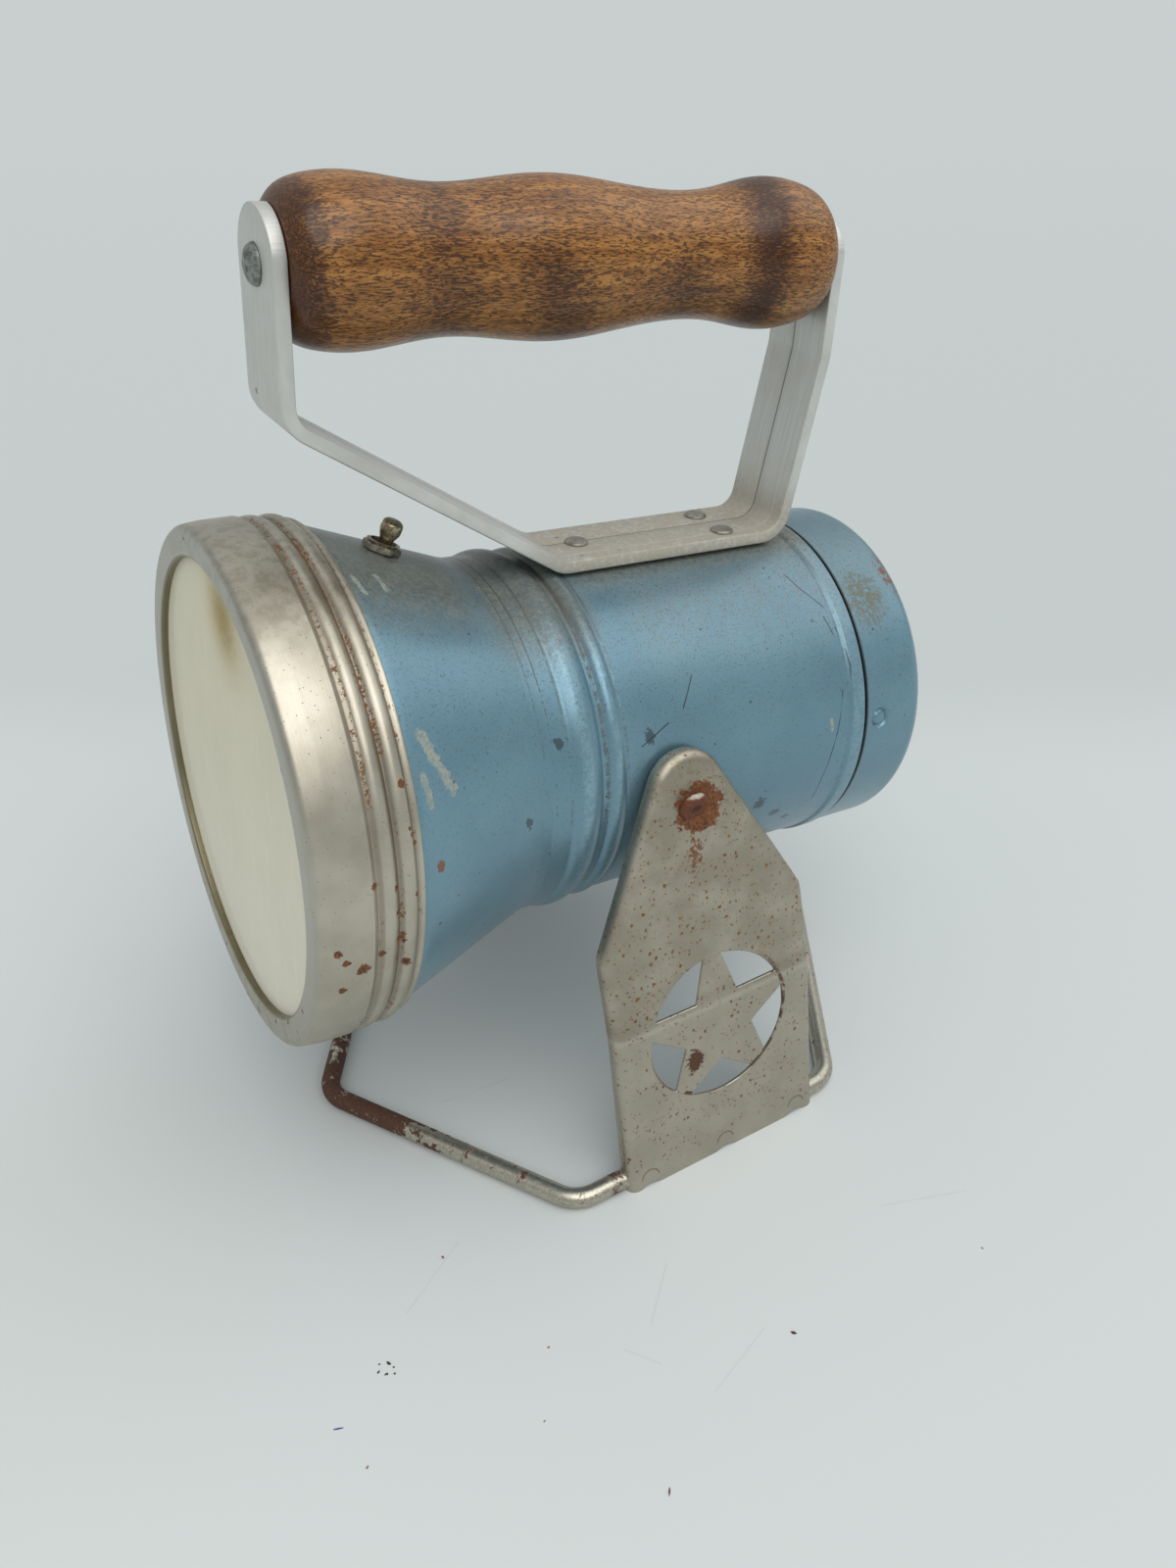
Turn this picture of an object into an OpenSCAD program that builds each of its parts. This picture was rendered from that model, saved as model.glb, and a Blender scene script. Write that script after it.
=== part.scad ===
// Hand lantern on a folding wire stand
// All sizes are in millimetres, all angles in degrees.
// The stand rests on z = 0. The lamp points along -Y and tilts about the X axis.

/* [Lens ring] */
// outside diameter of the lens ring
ring_d = 120; // [108:1:132]
// width of the lens ring from the front lip to its rear edge
ring_w = 22; // [20:0.5:26]
// opening that shows the glass
lens_opening_d = 105.5; // [94:0.5:106]
// thickness of the glass
glass_t = 2.4; // [2:0.1:3]
// thickness of the rubber gasket behind the glass
gasket_t = 1.6; // [1:0.1:2]
// rise of one turn of the lens ring thread
ring_lead = 4; // [3:0.5:5]

/* [Lamp shell] */
// length of the cone behind the lens ring
cone_l = 33.6; // [28:0.2:44]
// sheet thickness of the shell
shell_t = 0.8; // [0.6:0.1:1]
// length of the plain waist behind the cone
waist_l = 6.6; // [5:0.1:8]
// width of the first rolled bead
bead_a_w = 7.8; // [6:0.1:9]
// width of the second rolled bead
bead_b_w = 3.8; // [3:0.1:5]
// height of the rolled beads
bead_h = 1.3; // [0.8:0.1:1.6]
// width of the raised band at the rear of the shell
band_w = 5.2; // [4:0.1:7]

/* [Battery] */
// width of the square lantern battery
battery_w = 66; // [60:0.5:80]
// length of the battery case
battery_l = 102; // [92:1:124]
// corner radius of the battery case
battery_corner = 12; // [10:0.5:14]
// free space between the battery corners and the rear collar
battery_room = 0.9; // [0.6:0.1:1.4]
// length of the pressed contact springs
spring_gap = 4.9; // [4.5:0.1:7]

/* [Rear cap] */
// length of the rear cap
cap_l = 20.2; // [18:0.2:26]
// sheet thickness of the rear cap
cap_t = 0.9; // [0.8:0.1:1.1]
// radius of the rounded rear edge
cap_edge_r = 4.4; // [3:0.1:6]
// open line between the shell and the cap
cap_gap = 0.6; // [0.4:0.1:2]
// turn that frees the cap from its two pips
cap_turn = 25; // [15:1:30]

/* [Handle] */
// width of the flat handle bar
strap_w = 21.5; // [17:0.5:25]
// thickness of the flat handle bar
strap_t = 3; // [2.4:0.1:3.6]
// height of the grip line above the lamp line
grip_h = 112; // [104:1:134]
// fall of the grip line from front to rear
grip_lean = 0.7; // [0:0.1:2]
// largest diameter of the turned grip
grip_d = 34; // [28:0.5:36]
// diameter of the bolt through the grip
bolt_d = 5; // [4:0.5:6]
// slope of the inclined part of the bar
strap_slope = 31.4; // [28:0.2:36]

/* [Toggle switch] */
// distance of the switch behind the front lip
switch_y = 37.2; // [34:0.2:42]
// diameter of the threaded switch neck
switch_neck_d = 7.6; // [7:0.2:9]
// length of the lever above the shell
lever_l = 8; // [6:0.5:12]
// lean of the lever to each side
lever_lean = 12; // [8:1:14]

/* [Stand] */
// distance of the tilt pivot behind the front lip
pivot_y = 92; // [86:1:98]
// slope of the side plates above the crease
splay_top = 14.2; // [10:0.2:18]
// slope of the side plates below the crease
splay_low = 7.6; // [6:0.2:15]
// length of the plate from the pivot down to the crease
crease_drop = 52.6; // [48:0.2:60]
// length of the plate from the pivot down to the floor
plate_drop = 99.4; // [90:0.2:114]
// width of the side plates
plate_w = 58.4; // [47:0.2:68]
// sheet thickness of the side plates
plate_t = 0.9; // [0.7:0.1:1.2]
// depth of the turned-in edge of the plates
flange_d = 4.1; // [3.8:0.1:5.5]
// distance from the lamp shell to the outer face of the plates at the pivot
plate_out = 7.15; // [7:0.05:9]
// rounding of the turned-in edge
edge_r = 2.6; // [1.8:0.1:3]
// radius of the rounded top of the plates
apex_r = 10.2; // [9:0.2:12]
// diameter of the pierced round with the star
star_d = 39.6; // [32:0.2:41]
// width of the star arms at the round
arm_w = 5.1; // [3:0.1:7]
// distance of the star centre below the pivot
star_drop = 59.6; // [54:0.2:62]
// diameter of the base wire
wire_d = 5; // [4:0.2:6]
// distance of the front and rear bends from the pivot line
wire_reach = 79.6; // [70:0.2:96]
// distance from the plates to the side bends of the wire
wire_past = 10.2; // [8:0.2:16]
// distance that the loop of wire sits ahead of the pivot line
wire_ahead = 3.2; // [0:0.1:4]
// tilt of the lamp, front end up
lamp_tilt = 4.9; // [-8:0.1:20]

/* [Hidden] */

// round steps: large turned sheet, middle sizes, small hardware
fine = 40;
middle = 24;
small = 14;
// free radius of a part that turns in another, and of a fixed part in its hole
run_fit = 0.07;
seat_fit = 0.03;

// radii around the battery
corner_r = battery_w / sqrt(2) - battery_corner * (sqrt(2) - 1);
collar_bore_r = corner_r + battery_room;
collar_r = collar_bore_r + shell_t;
cap_bore_r = collar_r + run_fit;
cap_r = cap_bore_r + cap_t;
tube_r = cap_r - 0.1;

// stations along the lamp line, measured from the front lip
lip_y = 0.3;
glass_y = lip_y + 0.06;
gasket_y = glass_y + glass_t;
flange_y = gasket_y + gasket_t;
mirror_t = 0.7;
neck_y = flange_y + mirror_t;
cone_y = ring_w + 1.6;
waist_y = cone_y + cone_l;
bead_a_y = waist_y + waist_l;
bead_b_y = bead_a_y + bead_a_w + 3;
tube_y = bead_b_y + bead_b_w + 0.5;
board_y = waist_y + 2.8;
board_t = 1.6;
board_rear_y = board_y + board_t;
rivet_plate_t = 0.4;
battery_y = board_rear_y + rivet_plate_t + spring_gap;
battery_end_y = battery_y + battery_l;
liner_t = 0.8;
cap_end_y = battery_end_y + liner_t + cap_t;
cap_y = cap_end_y - cap_l;
band_end_y = cap_y - cap_gap;
band_y = band_end_y - band_w;
collar_end_y = cap_y + 10.3;
pip_y = cap_y + 4.8;
pip_r = 2.6;

// lens ring radii
ring_r = ring_d / 2;
opening_r = lens_opening_d / 2;
ring_wall = 0.9;
pocket_r = ring_r - 0.8;
glass_r = pocket_r - 0.4;
thread_r = ring_r - 2.8;
neck_r = thread_r - run_fit;

// reflector curve
dish_y = waist_y - 12.2;
dish_neck_r = 8;
dish_mouth_r = opening_r + 1.2;
dish_k = (dish_mouth_r * dish_mouth_r - dish_neck_r * dish_neck_r) / (dish_y - flange_y);
function dish(y) = sqrt(dish_neck_r * dish_neck_r + dish_k * (dish_y - y));
holder_r = dish_neck_r - mirror_t;
foot_y = board_y - rivet_plate_t - 0.6;

// stand sizes
sheet_x = tube_r + plate_out;
low_drop = plate_drop - crease_drop;
crease_x = sheet_x + crease_drop * sin(splay_top);
pivot_z = crease_drop * cos(splay_top) + low_drop * cos(splay_low);
crease_z = pivot_z - crease_drop * cos(splay_top);
foot_x = crease_x + low_drop * sin(splay_low);
wire_r = wire_d / 2;
wire_x = foot_x - wire_r * tan(splay_low) - (plate_t + wire_r) / cos(splay_low) - 0.05;
wire_side = plate_w / 2 + wire_past;
wire_bend = 9;
shoulder_drop = plate_w / 2 + 2;
apex_c = 3.2;
shank_r = 2.5;

// handle sizes, in the side view of the lamp: first value along, second value up
bar_low_z = tube_r + strap_t / 2;
bar_front_y = 15.3;
bar_start_y = tube_y - 0.9;
bar_end_y = band_y - 3;
bar_kink_z = 90;
bar_lean = 9.2;
bar_rear_y = bar_end_y + (bar_kink_z - bar_low_z) * tan(bar_lean);
bar_corner_z = bar_low_z + (bar_start_y - bar_front_y) * tan(strap_slope);
grip_mid_y = (bar_front_y + bar_rear_y) / 2;
grip_l = bar_rear_y - bar_front_y - strap_t - 0.4;
bar_line = [
  [bar_front_y, grip_h + strap_w / 2 + 0.8],
  [bar_front_y, bar_corner_z],
  [bar_start_y, bar_low_z],
  [bar_end_y, bar_low_z],
  [bar_rear_y, bar_kink_z],
  [bar_rear_y, grip_h + strap_w / 2 - 0.8]];
bar_bends = [0, 7, 7, 6.5, 10, 0];

// cone slope and the place of the switch
cone_drop = neck_r - (tube_r + 0.4);
cone_a = atan(cone_drop / cone_l);
switch_r = neck_r - (switch_y - cone_y) * tan(cone_a);

// places a piece that is drawn with z along the lamp line
module in_lamp() {
  translate([0, 0, pivot_z])
    rotate([-lamp_tilt, 0, 0])
      translate([0, -pivot_y, 0])
        children();
}

module turned(steps = fine) {
  in_lamp()
    rotate([-90, 0, 0])
      rotate_extrude($fn = steps)
        children();
}

function bump(y0, w, r, h, n = 6) = [for (i = [1 : n - 1])
  [r + h * (1 - pow(2 * i / n - 1, 2)), y0 + w * i / n]];

function arc(cx, cy, r, a0, a1, n = 5) = [for (i = [0 : n])
  [cx + r * cos(a0 + (a1 - a0) * i / n), cy + r * sin(a0 + (a1 - a0) * i / n)]];

// lens ring
module lens_ring() {
  color("silver") turned() polygon(concat(
    [[opening_r, lip_y], [opening_r, -0.7], [opening_r + 0.5, -1.3]],
    [[ring_r - 1.5, -1.5], [ring_r - 0.4, -1.05], [ring_r, 0]],
    [[ring_r + 0.35, ring_w * 0.48], [ring_r + 0.1, ring_w * 0.5]],
    [[ring_r - 0.6, ring_w * 0.53], [ring_r - 0.55, ring_w * 0.57]],
    bump(ring_w * 0.58, ring_w * 0.14, ring_r - 0.6, 0.65, 4),
    [[ring_r - 0.75, ring_w * 0.75]],
    bump(ring_w * 0.77, ring_w * 0.14, ring_r - 0.75, 0.6, 4),
    [[ring_r - 1.35, ring_w * 0.925], [ring_r - 1.4, ring_w * 0.98]],
    [[ring_r - 1.6, ring_w], [thread_r + 0.4, ring_w], [thread_r, ring_w - 0.4]],
    [[thread_r, ring_w * 0.54], [pocket_r, ring_w * 0.49], [pocket_r, lip_y]]));
}

module glass() {
  color("lightcyan") turned() polygon([[0, glass_y], [glass_r, glass_y],
    [glass_r, gasket_y], [0, gasket_y]]);
}

module gasket() {
  color("dimgray") turned() polygon([[opening_r + 0.7, gasket_y], [glass_r, gasket_y],
    [glass_r, flange_y], [opening_r + 0.7, flange_y]]);
}

// reflector with its rim flange and rear neck
module reflector() {
  n = 7;
  step = (dish_y - neck_y) / n;
  color("ivory") turned() polygon(concat(
    [[glass_r, flange_y], [glass_r, neck_y], [dish(flange_y) + mirror_t, neck_y]],
    [for (i = [1 : n]) [dish(neck_y + i * step) + mirror_t, neck_y + i * step]],
    [[dish_neck_r + mirror_t, dish_y + 6], [dish_neck_r, dish_y + 6]],
    [for (i = [0 : n]) [dish(dish_y - i * (dish_y - flange_y) / n),
      dish_y - i * (dish_y - flange_y) / n]]));
}

// brass sleeve that holds the bulb in the reflector neck
module bulb_holder() {
  color("goldenrod") turned(small) polygon([[holder_r - 1.1, dish_y - 1],
    [dish_neck_r - seat_fit, dish_y - 1], [dish_neck_r - seat_fit, dish_y + 7],
    [dish_neck_r + 2, dish_y + 7], [dish_neck_r + 2, dish_y + 8],
    [holder_r - 1.1, dish_y + 8]]);
}

module bulb_base() {
  r = holder_r - 1.1 - seat_fit;
  color("goldenrod") turned(small) polygon([[0, dish_y - 2], [r, dish_y - 2],
    [r, dish_y + 9], [r - 2.2, dish_y + 10.6], [2, foot_y], [0, foot_y]]);
}

module bulb_globe() {
  r = holder_r - 1.6;
  color("azure") turned(small) polygon(concat([[0, dish_y - 2.02], [r - 1.4, dish_y - 2.02]],
    arc(0, dish_y - 2 - r * 1.35, r, 50, -78, 7), [[0, dish_y - 2 - r * 2.35]]));
}

// shell with neck, cone, rolled beads, tube, rear band and collar
module shell_line() {
  r = tube_r;
  polygon(concat(
    [[neck_r, neck_y], [neck_r, cone_y], [r + 1.2, waist_y - 2.2], [r + 0.4, waist_y]],
    [[r + 0.25, waist_y + 1.4], [r + 0.25, bead_a_y]],
    bump(bead_a_y, bead_a_w, r, bead_h, 5),
    [[r - 0.1, bead_b_y - 3], [r - 0.5, bead_b_y - 2.4]],
    [[r - 0.5, bead_b_y - 0.7]],
    bump(bead_b_y - 0.4, bead_b_w, r - 0.2, bead_h - 0.5, 4),
    [[r, tube_y], [r, band_y], [r + 0.5, band_y + 0.7], [r + 0.6, band_y + 1.6]],
    [[r + 0.6, band_end_y - 1.4], [r + 0.2, band_end_y - 0.3], [r - 0.5, band_end_y]],
    [[collar_r, band_end_y], [collar_r, collar_end_y], [collar_bore_r, collar_end_y]],
    [[collar_bore_r, band_end_y - 0.6], [r - shell_t, band_end_y - 1.8]],
    [[r - shell_t, tube_y], [r - shell_t - 0.5, bead_b_y - 1.6]],
    [[r - shell_t, bead_a_y + bead_a_w / 2], [r - shell_t, waist_y + 1.4]],
    [[r + 0.35 - shell_t, waist_y], [neck_r - shell_t * 1.07, cone_y]],
    [[neck_r - shell_t, neck_y]]));
}

module pip_places() {
  for (k = [0, 1]) rotate([0, 0, 180 * k - 7.2]) children();
}

// slot for one pip: the run round the collar and the way out at its edge
module pip_slot() {
  w = pip_r + 0.3;
  v = w - 0.12;
  translate([0, 0, pip_y]) rotate([0, 90, 0])
    cylinder(r = w, h = cap_r + 4, $fn = small);
  rotate([0, 0, -cap_turn]) translate([0, 0, pip_y]) rotate([0, 90, 0])
    cylinder(r = w, h = cap_r + 4, $fn = small);
  rotate([0, 0, -cap_turn]) translate([0, 0, pip_y - v])
    rotate_extrude(angle = cap_turn, $fn = fine)
      translate([collar_bore_r - 2, 0]) square([5, 2 * v]);
  rotate([0, 0, -cap_turn]) translate([0, -v, pip_y])
    cube([cap_r + 4, 2 * v, cap_l]);
}

module lamp_shell() {
  color("steelblue") difference() {
    in_lamp() rotate([-90, 0, 0]) difference() {
      rotate_extrude($fn = fine) shell_line();
      pip_places() pip_slot();
    }
    in_lamp() translate([0, pivot_y, 0]) rotate([0, 90, 0])
      translate([0, 0, -tube_r - 9])
        cylinder(r = bush_r + seat_fit, h = 2 * tube_r + 18, $fn = small);
    in_lamp() rivet_places() translate([0, 0, -9])
      cylinder(r = rivet_shank_r + seat_fit, h = 12, $fn = small);
    in_switch() translate([0, 0, -9])
      cylinder(r = switch_neck_r + seat_fit, h = 18, $fn = small);
  }
}

// tilt pivot: bushings in the shell, rivets in the stand
bush_r = 5;
bush_out_x = sheet_x - 2.7;
bush_in_x = tube_r - shell_t - 1;

module bushing() {
  rotate([0, 90, 0]) difference() {
    union() {
      translate([0, 0, bush_in_x]) cylinder(r = bush_r, h = bush_out_x - bush_in_x, $fn = small);
      translate([0, 0, bush_in_x - 1]) cylinder(r = bush_r + 1.6, h = 1, $fn = small);
    }
    translate([0, 0, bush_in_x - 3])
      cylinder(r = shank_r + run_fit, h = bush_out_x - bush_in_x + 8, $fn = small);
  }
}

module pivot_bushings() {
  color("silver") in_lamp() translate([0, pivot_y, 0]) {
    bushing();
    mirror([1, 0, 0]) bushing();
  }
}

module rivet_right() {
  translate([0, 0, pivot_z]) {
    rotate([0, 90, 0]) {
      translate([0, 0, bush_in_x - 2.3]) cylinder(r = 3.6, h = 1, $fn = small);
      translate([0, 0, bush_in_x - 1.5])
        cylinder(r = shank_r, h = sheet_x - bush_in_x + 1.5, $fn = small);
    }
    translate([sheet_x, 0, 0]) rotate([0, 90 - splay_top, 0]) {
      cylinder(r = 4.1, h = 0.9, $fn = small);
      translate([0, 0, 0.9]) cylinder(r1 = 4.1, r2 = 2.9, h = 0.7, $fn = small);
    }
  }
}

module pivot_rivets() {
  color("sienna") {
    rivet_right();
    mirror([1, 0, 0]) rivet_right();
  }
}

// board with the contacts between bulb and battery
centre_gap = 4;
corner_at = battery_w / 2 - 9;

module contact_board() {
  color("saddlebrown") in_lamp() rotate([-90, 0, 0]) difference() {
    translate([0, 0, board_y]) cylinder(r = tube_r - shell_t - 0.3, h = board_t, $fn = fine);
    translate([0, 0, board_y - 1]) cylinder(r = 2 + seat_fit, h = board_t + 2, $fn = small);
    translate([corner_at, corner_at, board_y - 1])
      cylinder(r = 2 + seat_fit, h = board_t + 2, $fn = small);
  }
}

module contact_stud() {
  translate([0, 0, board_y - rivet_plate_t]) cylinder(r = 4.5, h = rivet_plate_t, $fn = small);
  translate([0, 0, board_y - rivet_plate_t]) cylinder(r = 2, h = board_t + 0.6, $fn = small);
  translate([0, 0, board_rear_y]) cylinder(r = 7.5, h = rivet_plate_t, $fn = small);
}

module centre_contact() {
  color("goldenrod") in_lamp() rotate([-90, 0, 0]) {
    contact_stud();
    translate([0, 0, foot_y]) cylinder(r = 2.2, h = board_y - foot_y, $fn = small);
  }
}

module corner_contact() {
  color("goldenrod") in_lamp() rotate([-90, 0, 0]) {
    translate([corner_at, corner_at, 0]) contact_stud();
    translate([corner_at - 1.5, -corner_at - 4, board_y - rivet_plate_t])
      cube([6, 2 * corner_at + 4, rivet_plate_t]);
  }
}

// battery case with its lid and two conical springs
module battery_outline(inset) {
  a = battery_w / 2 - battery_corner;
  s = battery_w / 2 - inset;
  r = battery_corner - inset;
  union() {
    square([2 * a, 2 * s], center = true);
    square([2 * s, 2 * a], center = true);
    for (i = [-1, 1]) for (j = [-1, 1]) translate([i * a, j * a]) circle(r, $fn = middle);
  }
}

module battery_case() {
  color("darkgreen") in_lamp() rotate([-90, 0, 0])
    translate([0, 0, battery_y + 3]) linear_extrude(battery_l - 3) battery_outline(0);
}

module battery_lid() {
  color("black") in_lamp() rotate([-90, 0, 0])
    translate([0, 0, battery_y]) linear_extrude(3) battery_outline(0.6);
}

// conical spring: one closed tube of six-sided rings along a narrowing coil
coil_turns = 3;
coil_wire_r = 0.45;
coil_rings = 8;
coil_sides = 6;
coil_big_r = 6.6;
coil_small_r = 3;
coil_n = coil_turns * coil_rings;
function coil_at(i) = let (a = 360 * i / coil_rings, f = i / coil_n,
  r = coil_big_r + (coil_small_r - coil_big_r) * f)
  [r * cos(a), r * sin(a), coil_wire_r + 0.02 + (spring_gap - 2 * coil_wire_r - 0.04) * f];
function coil_ring(i) = let (a = 360 * i / coil_rings, p = coil_at(i))
  [for (j = [0 : coil_sides - 1]) let (b = 360 * j / coil_sides)
    [p[0] + coil_wire_r * cos(b) * cos(a), p[1] + coil_wire_r * cos(b) * sin(a),
     p[2] + coil_wire_r * sin(b)]];
coil_points = [for (i = [0 : coil_n]) each coil_ring(i)];
coil_faces = concat(
  [[for (j = [0 : coil_sides - 1]) coil_sides - 1 - j]],
  [[for (j = [0 : coil_sides - 1]) coil_n * coil_sides + j]],
  [for (i = [0 : coil_n - 1]) for (j = [0 : coil_sides - 1])
    let (a = i * coil_sides + j, b = i * coil_sides + (j + 1) % coil_sides)
    each [[a, b, b + coil_sides], [a, b + coil_sides, a + coil_sides]]]);
coil_gap = min([for (i = [0 : coil_n - coil_rings])
  norm(coil_at(i + coil_rings) - coil_at(i)) - 2 * coil_wire_r]);
echo(least_gap_of_contact_spring = coil_gap);

module coil_spring() {
  polyhedron(points = coil_points, faces = coil_faces);
}

module centre_spring() {
  color("silver") in_lamp() rotate([-90, 0, 0]) translate([0, 0, battery_y])
    rotate([180, 0, 0]) coil_spring();
}

module corner_spring() {
  color("silver") in_lamp() rotate([-90, 0, 0])
    translate([corner_at, corner_at, battery_y]) rotate([180, 0, 0]) coil_spring();
}

// toggle switch on top of the cone; z points away from the shell
switch_neck_r = switch_neck_d / 2;
lever_ball_r = switch_neck_r - 0.9;
lever_pin_r = 0.6;
lever_pivot_z = -1.2;
case_w = 12;
case_l = 14;
case_h = 9;

module in_switch() {
  in_lamp() translate([0, switch_y, switch_r]) rotate([-cone_a, 0, 0]) children();
}

module switch_case() {
  color("black") in_switch() difference() {
    union() {
      translate([0, 0, -4]) cylinder(r = switch_neck_r, h = 6.4, $fn = small);
      translate([-case_w / 2, -case_l / 2, -4 - case_h]) cube([case_w, case_l, case_h]);
    }
    translate([0, 0, -6.5]) cylinder(r = lever_ball_r + run_fit, h = 12, $fn = small);
    translate([0, 0, -9]) cylinder(r = 2.9, h = 4, $fn = small);
    translate([0, switch_neck_r + 1, lever_pivot_z]) rotate([90, 0, 0])
      cylinder(r = lever_pin_r + run_fit, h = 2 * switch_neck_r + 2, $fn = small);
  }
}

module switch_nut() {
  color("silver") in_switch() difference() {
    translate([0, 0, 0.25]) cylinder(r = switch_neck_r + 0.9, h = 1.5, $fn = small);
    translate([0, 0, -1]) cylinder(r = switch_neck_r + seat_fit, h = 5, $fn = small);
  }
}

module switch_lever() {
  color("goldenrod") in_switch() translate([0, 0, lever_pivot_z]) rotate([0, lever_lean, 0]) {
    tip = lever_l - lever_pivot_z;
    translate([0, switch_neck_r - 0.1, 0]) rotate([90, 0, 0])
      cylinder(r = lever_pin_r, h = 2 * switch_neck_r - 0.2, $fn = small);
    rotate_extrude($fn = small) polygon(concat(
      [[0, -5.6], [1.1, -5.6]],
      arc(0, 0, lever_ball_r, -64, 60, 6),
      [[1.75, tip - 4.2], [2.15, tip - 3.2], [2.25, tip - 2]],
      [[2, tip - 0.8], [1.3, tip - 0.15], [0, tip]]));
  }
}

// handle: flat bar bent in the side view, three rivets, turned grip and bolt
function dir(a, b) = (b - a) / norm(b - a);
function turn_of(a, b, c) = let (u = dir(a, b), v = dir(b, c))
  atan2(u[0] * v[1] - u[1] * v[0], u * v);
function set_back(i) = (i == 0 || i == len(bar_line) - 1) ? 0
  : bar_bends[i] * tan(abs(turn_of(bar_line[i - 1], bar_line[i], bar_line[i + 1])) / 2);

// points along one side of the bar, on the given side of its middle line
function bar_bend(i, w) = let (
  u = dir(bar_line[i - 1], bar_line[i]),
  k = turn_of(bar_line[i - 1], bar_line[i], bar_line[i + 1]),
  c = bar_line[i] - u * set_back(i) + sign(k) * [-u[1], u[0]] * bar_bends[i],
  r = bar_bends[i] - sign(k) * w,
  way = atan2(u[1], u[0]) - 90 * sign(k))
  [for (j = [0 : 5]) c + r * [cos(way + k * j / 5), sin(way + k * j / 5)]];
function bar_edge(w) = let (n = len(bar_line) - 1,
  u = dir(bar_line[0], bar_line[1]), v = dir(bar_line[n - 1], bar_line[n]))
  concat([bar_line[0] + w * [-u[1], u[0]]],
    [for (i = [1 : n - 1]) each bar_bend(i, w)],
    [bar_line[n] + w * [-v[1], v[0]]]);
function flipped(p) = [for (i = [len(p) - 1 : -1 : 0]) p[i]];

module bar_side(t) {
  polygon(concat(bar_edge(t / 2), flipped(bar_edge(-t / 2))));
}

module in_grip() {
  in_lamp() translate([0, grip_mid_y, grip_h]) rotate([-grip_lean, 0, 0]) children();
}

rivet_y1 = bar_start_y + 9.2;
rivet_y2 = bar_end_y - 15.4;
rivet_shank_r = 1.5;
module rivet_places() {
  translate([0, rivet_y1, tube_r]) children();
  translate([-6, rivet_y2, tube_r]) children();
  translate([6, rivet_y2, tube_r]) children();
}

module bar_end(y) {
  r = strap_w / 2 + 0.3;
  translate([0, y, 0]) rotate([90, 0, 0]) translate([0, 0, -9]) difference() {
    translate([-r - 1, 1, 0]) cube([2 * r + 2, r + 6, 18]);
    translate([0, 0, -1]) cylinder(r = r, h = 20, $fn = fine);
  }
}

module handle_bar() {
  color("lightgray") difference() {
    in_lamp() translate([strap_w / 2, 0, 0]) rotate([90, 0, -90])
      mirror([1, 0, 0]) linear_extrude(strap_w) bar_side(strap_t);
    in_grip() bar_end(bar_front_y - grip_mid_y);
    in_grip() bar_end(bar_rear_y - grip_mid_y);
    in_grip() translate([0, grip_l, 0]) rotate([90, 0, 0])
      cylinder(r = bolt_d / 2 + seat_fit, h = 2 * grip_l, $fn = small);
    in_lamp() rivet_places() translate([0, 0, -3])
      cylinder(r = rivet_shank_r + seat_fit, h = strap_t + 6, $fn = small);
  }
}

module bar_rivets() {
  color("silver") in_lamp() rivet_places() {
    translate([0, 0, strap_t]) cylinder(r = 2.9, h = 0.6, $fn = small);
    translate([0, 0, strap_t + 0.6]) cylinder(r1 = 2.9, r2 = 2.1, h = 0.5, $fn = small);
    translate([0, 0, -2.6]) cylinder(r = rivet_shank_r, h = strap_t + 3, $fn = small);
    translate([0, 0, -3.2]) cylinder(r = 2.6, h = 1, $fn = small);
  }
}

// turned grip: radius at equal parts of its length, as parts of the largest radius
function swell(c, w, x) = exp(-pow((x - c) / w, 2));
function grip_r(x) = grip_d / 2 * (0.78 + 0.19 * swell(0.05, 0.12, x)
  + 0.22 * swell(0.48, 0.17, x) + 0.2 * swell(0.93, 0.09, x));
module grip() {
  n = 18;
  r = grip_d / 2;
  color("brown") in_grip() rotate([-90, 0, 0]) rotate_extrude($fn = middle)
    polygon(concat(
      [[bolt_d / 2 + 0.15, -grip_l / 2], [r * 0.9, -grip_l / 2]],
      [for (i = [0 : n]) let (x = 0.012 + 0.958 * i / n) [grip_r(x), (x - 0.5) * grip_l]],
      [[r * 0.82, grip_l * 0.487], [r * 0.7, grip_l / 2], [bolt_d / 2 + 0.15, grip_l / 2]]));
}

module grip_bolt() {
  front = bar_front_y - grip_mid_y - strap_t / 2 - 0.1;
  rear = bar_rear_y - grip_mid_y + strap_t / 2 + 4;
  color("silver") in_grip() rotate([-90, 0, 0]) rotate_extrude($fn = small)
    polygon(concat([[0, front - 2.1], [1.6, front - 1.9], [3, front - 1.3], [4, front - 0.4]],
      [[4.1, front], [bolt_d / 2, front], [bolt_d / 2, rear], [0, rear]]));
}

module grip_nut() {
  rear = bar_rear_y - grip_mid_y + strap_t / 2 + 0.1;
  color("silver") in_grip() rotate([-90, 0, 0]) difference() {
    union() {
      translate([0, 0, rear]) cylinder(r = 4.6, h = 3, $fn = 6);
      translate([0, 0, rear + 3]) cylinder(r1 = 3.8, r2 = 3.2, h = 2, $fn = small);
    }
    translate([0, 0, rear - 1]) cylinder(r = bolt_d / 2 + seat_fit, h = 5.05, $fn = small);
  }
}

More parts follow.
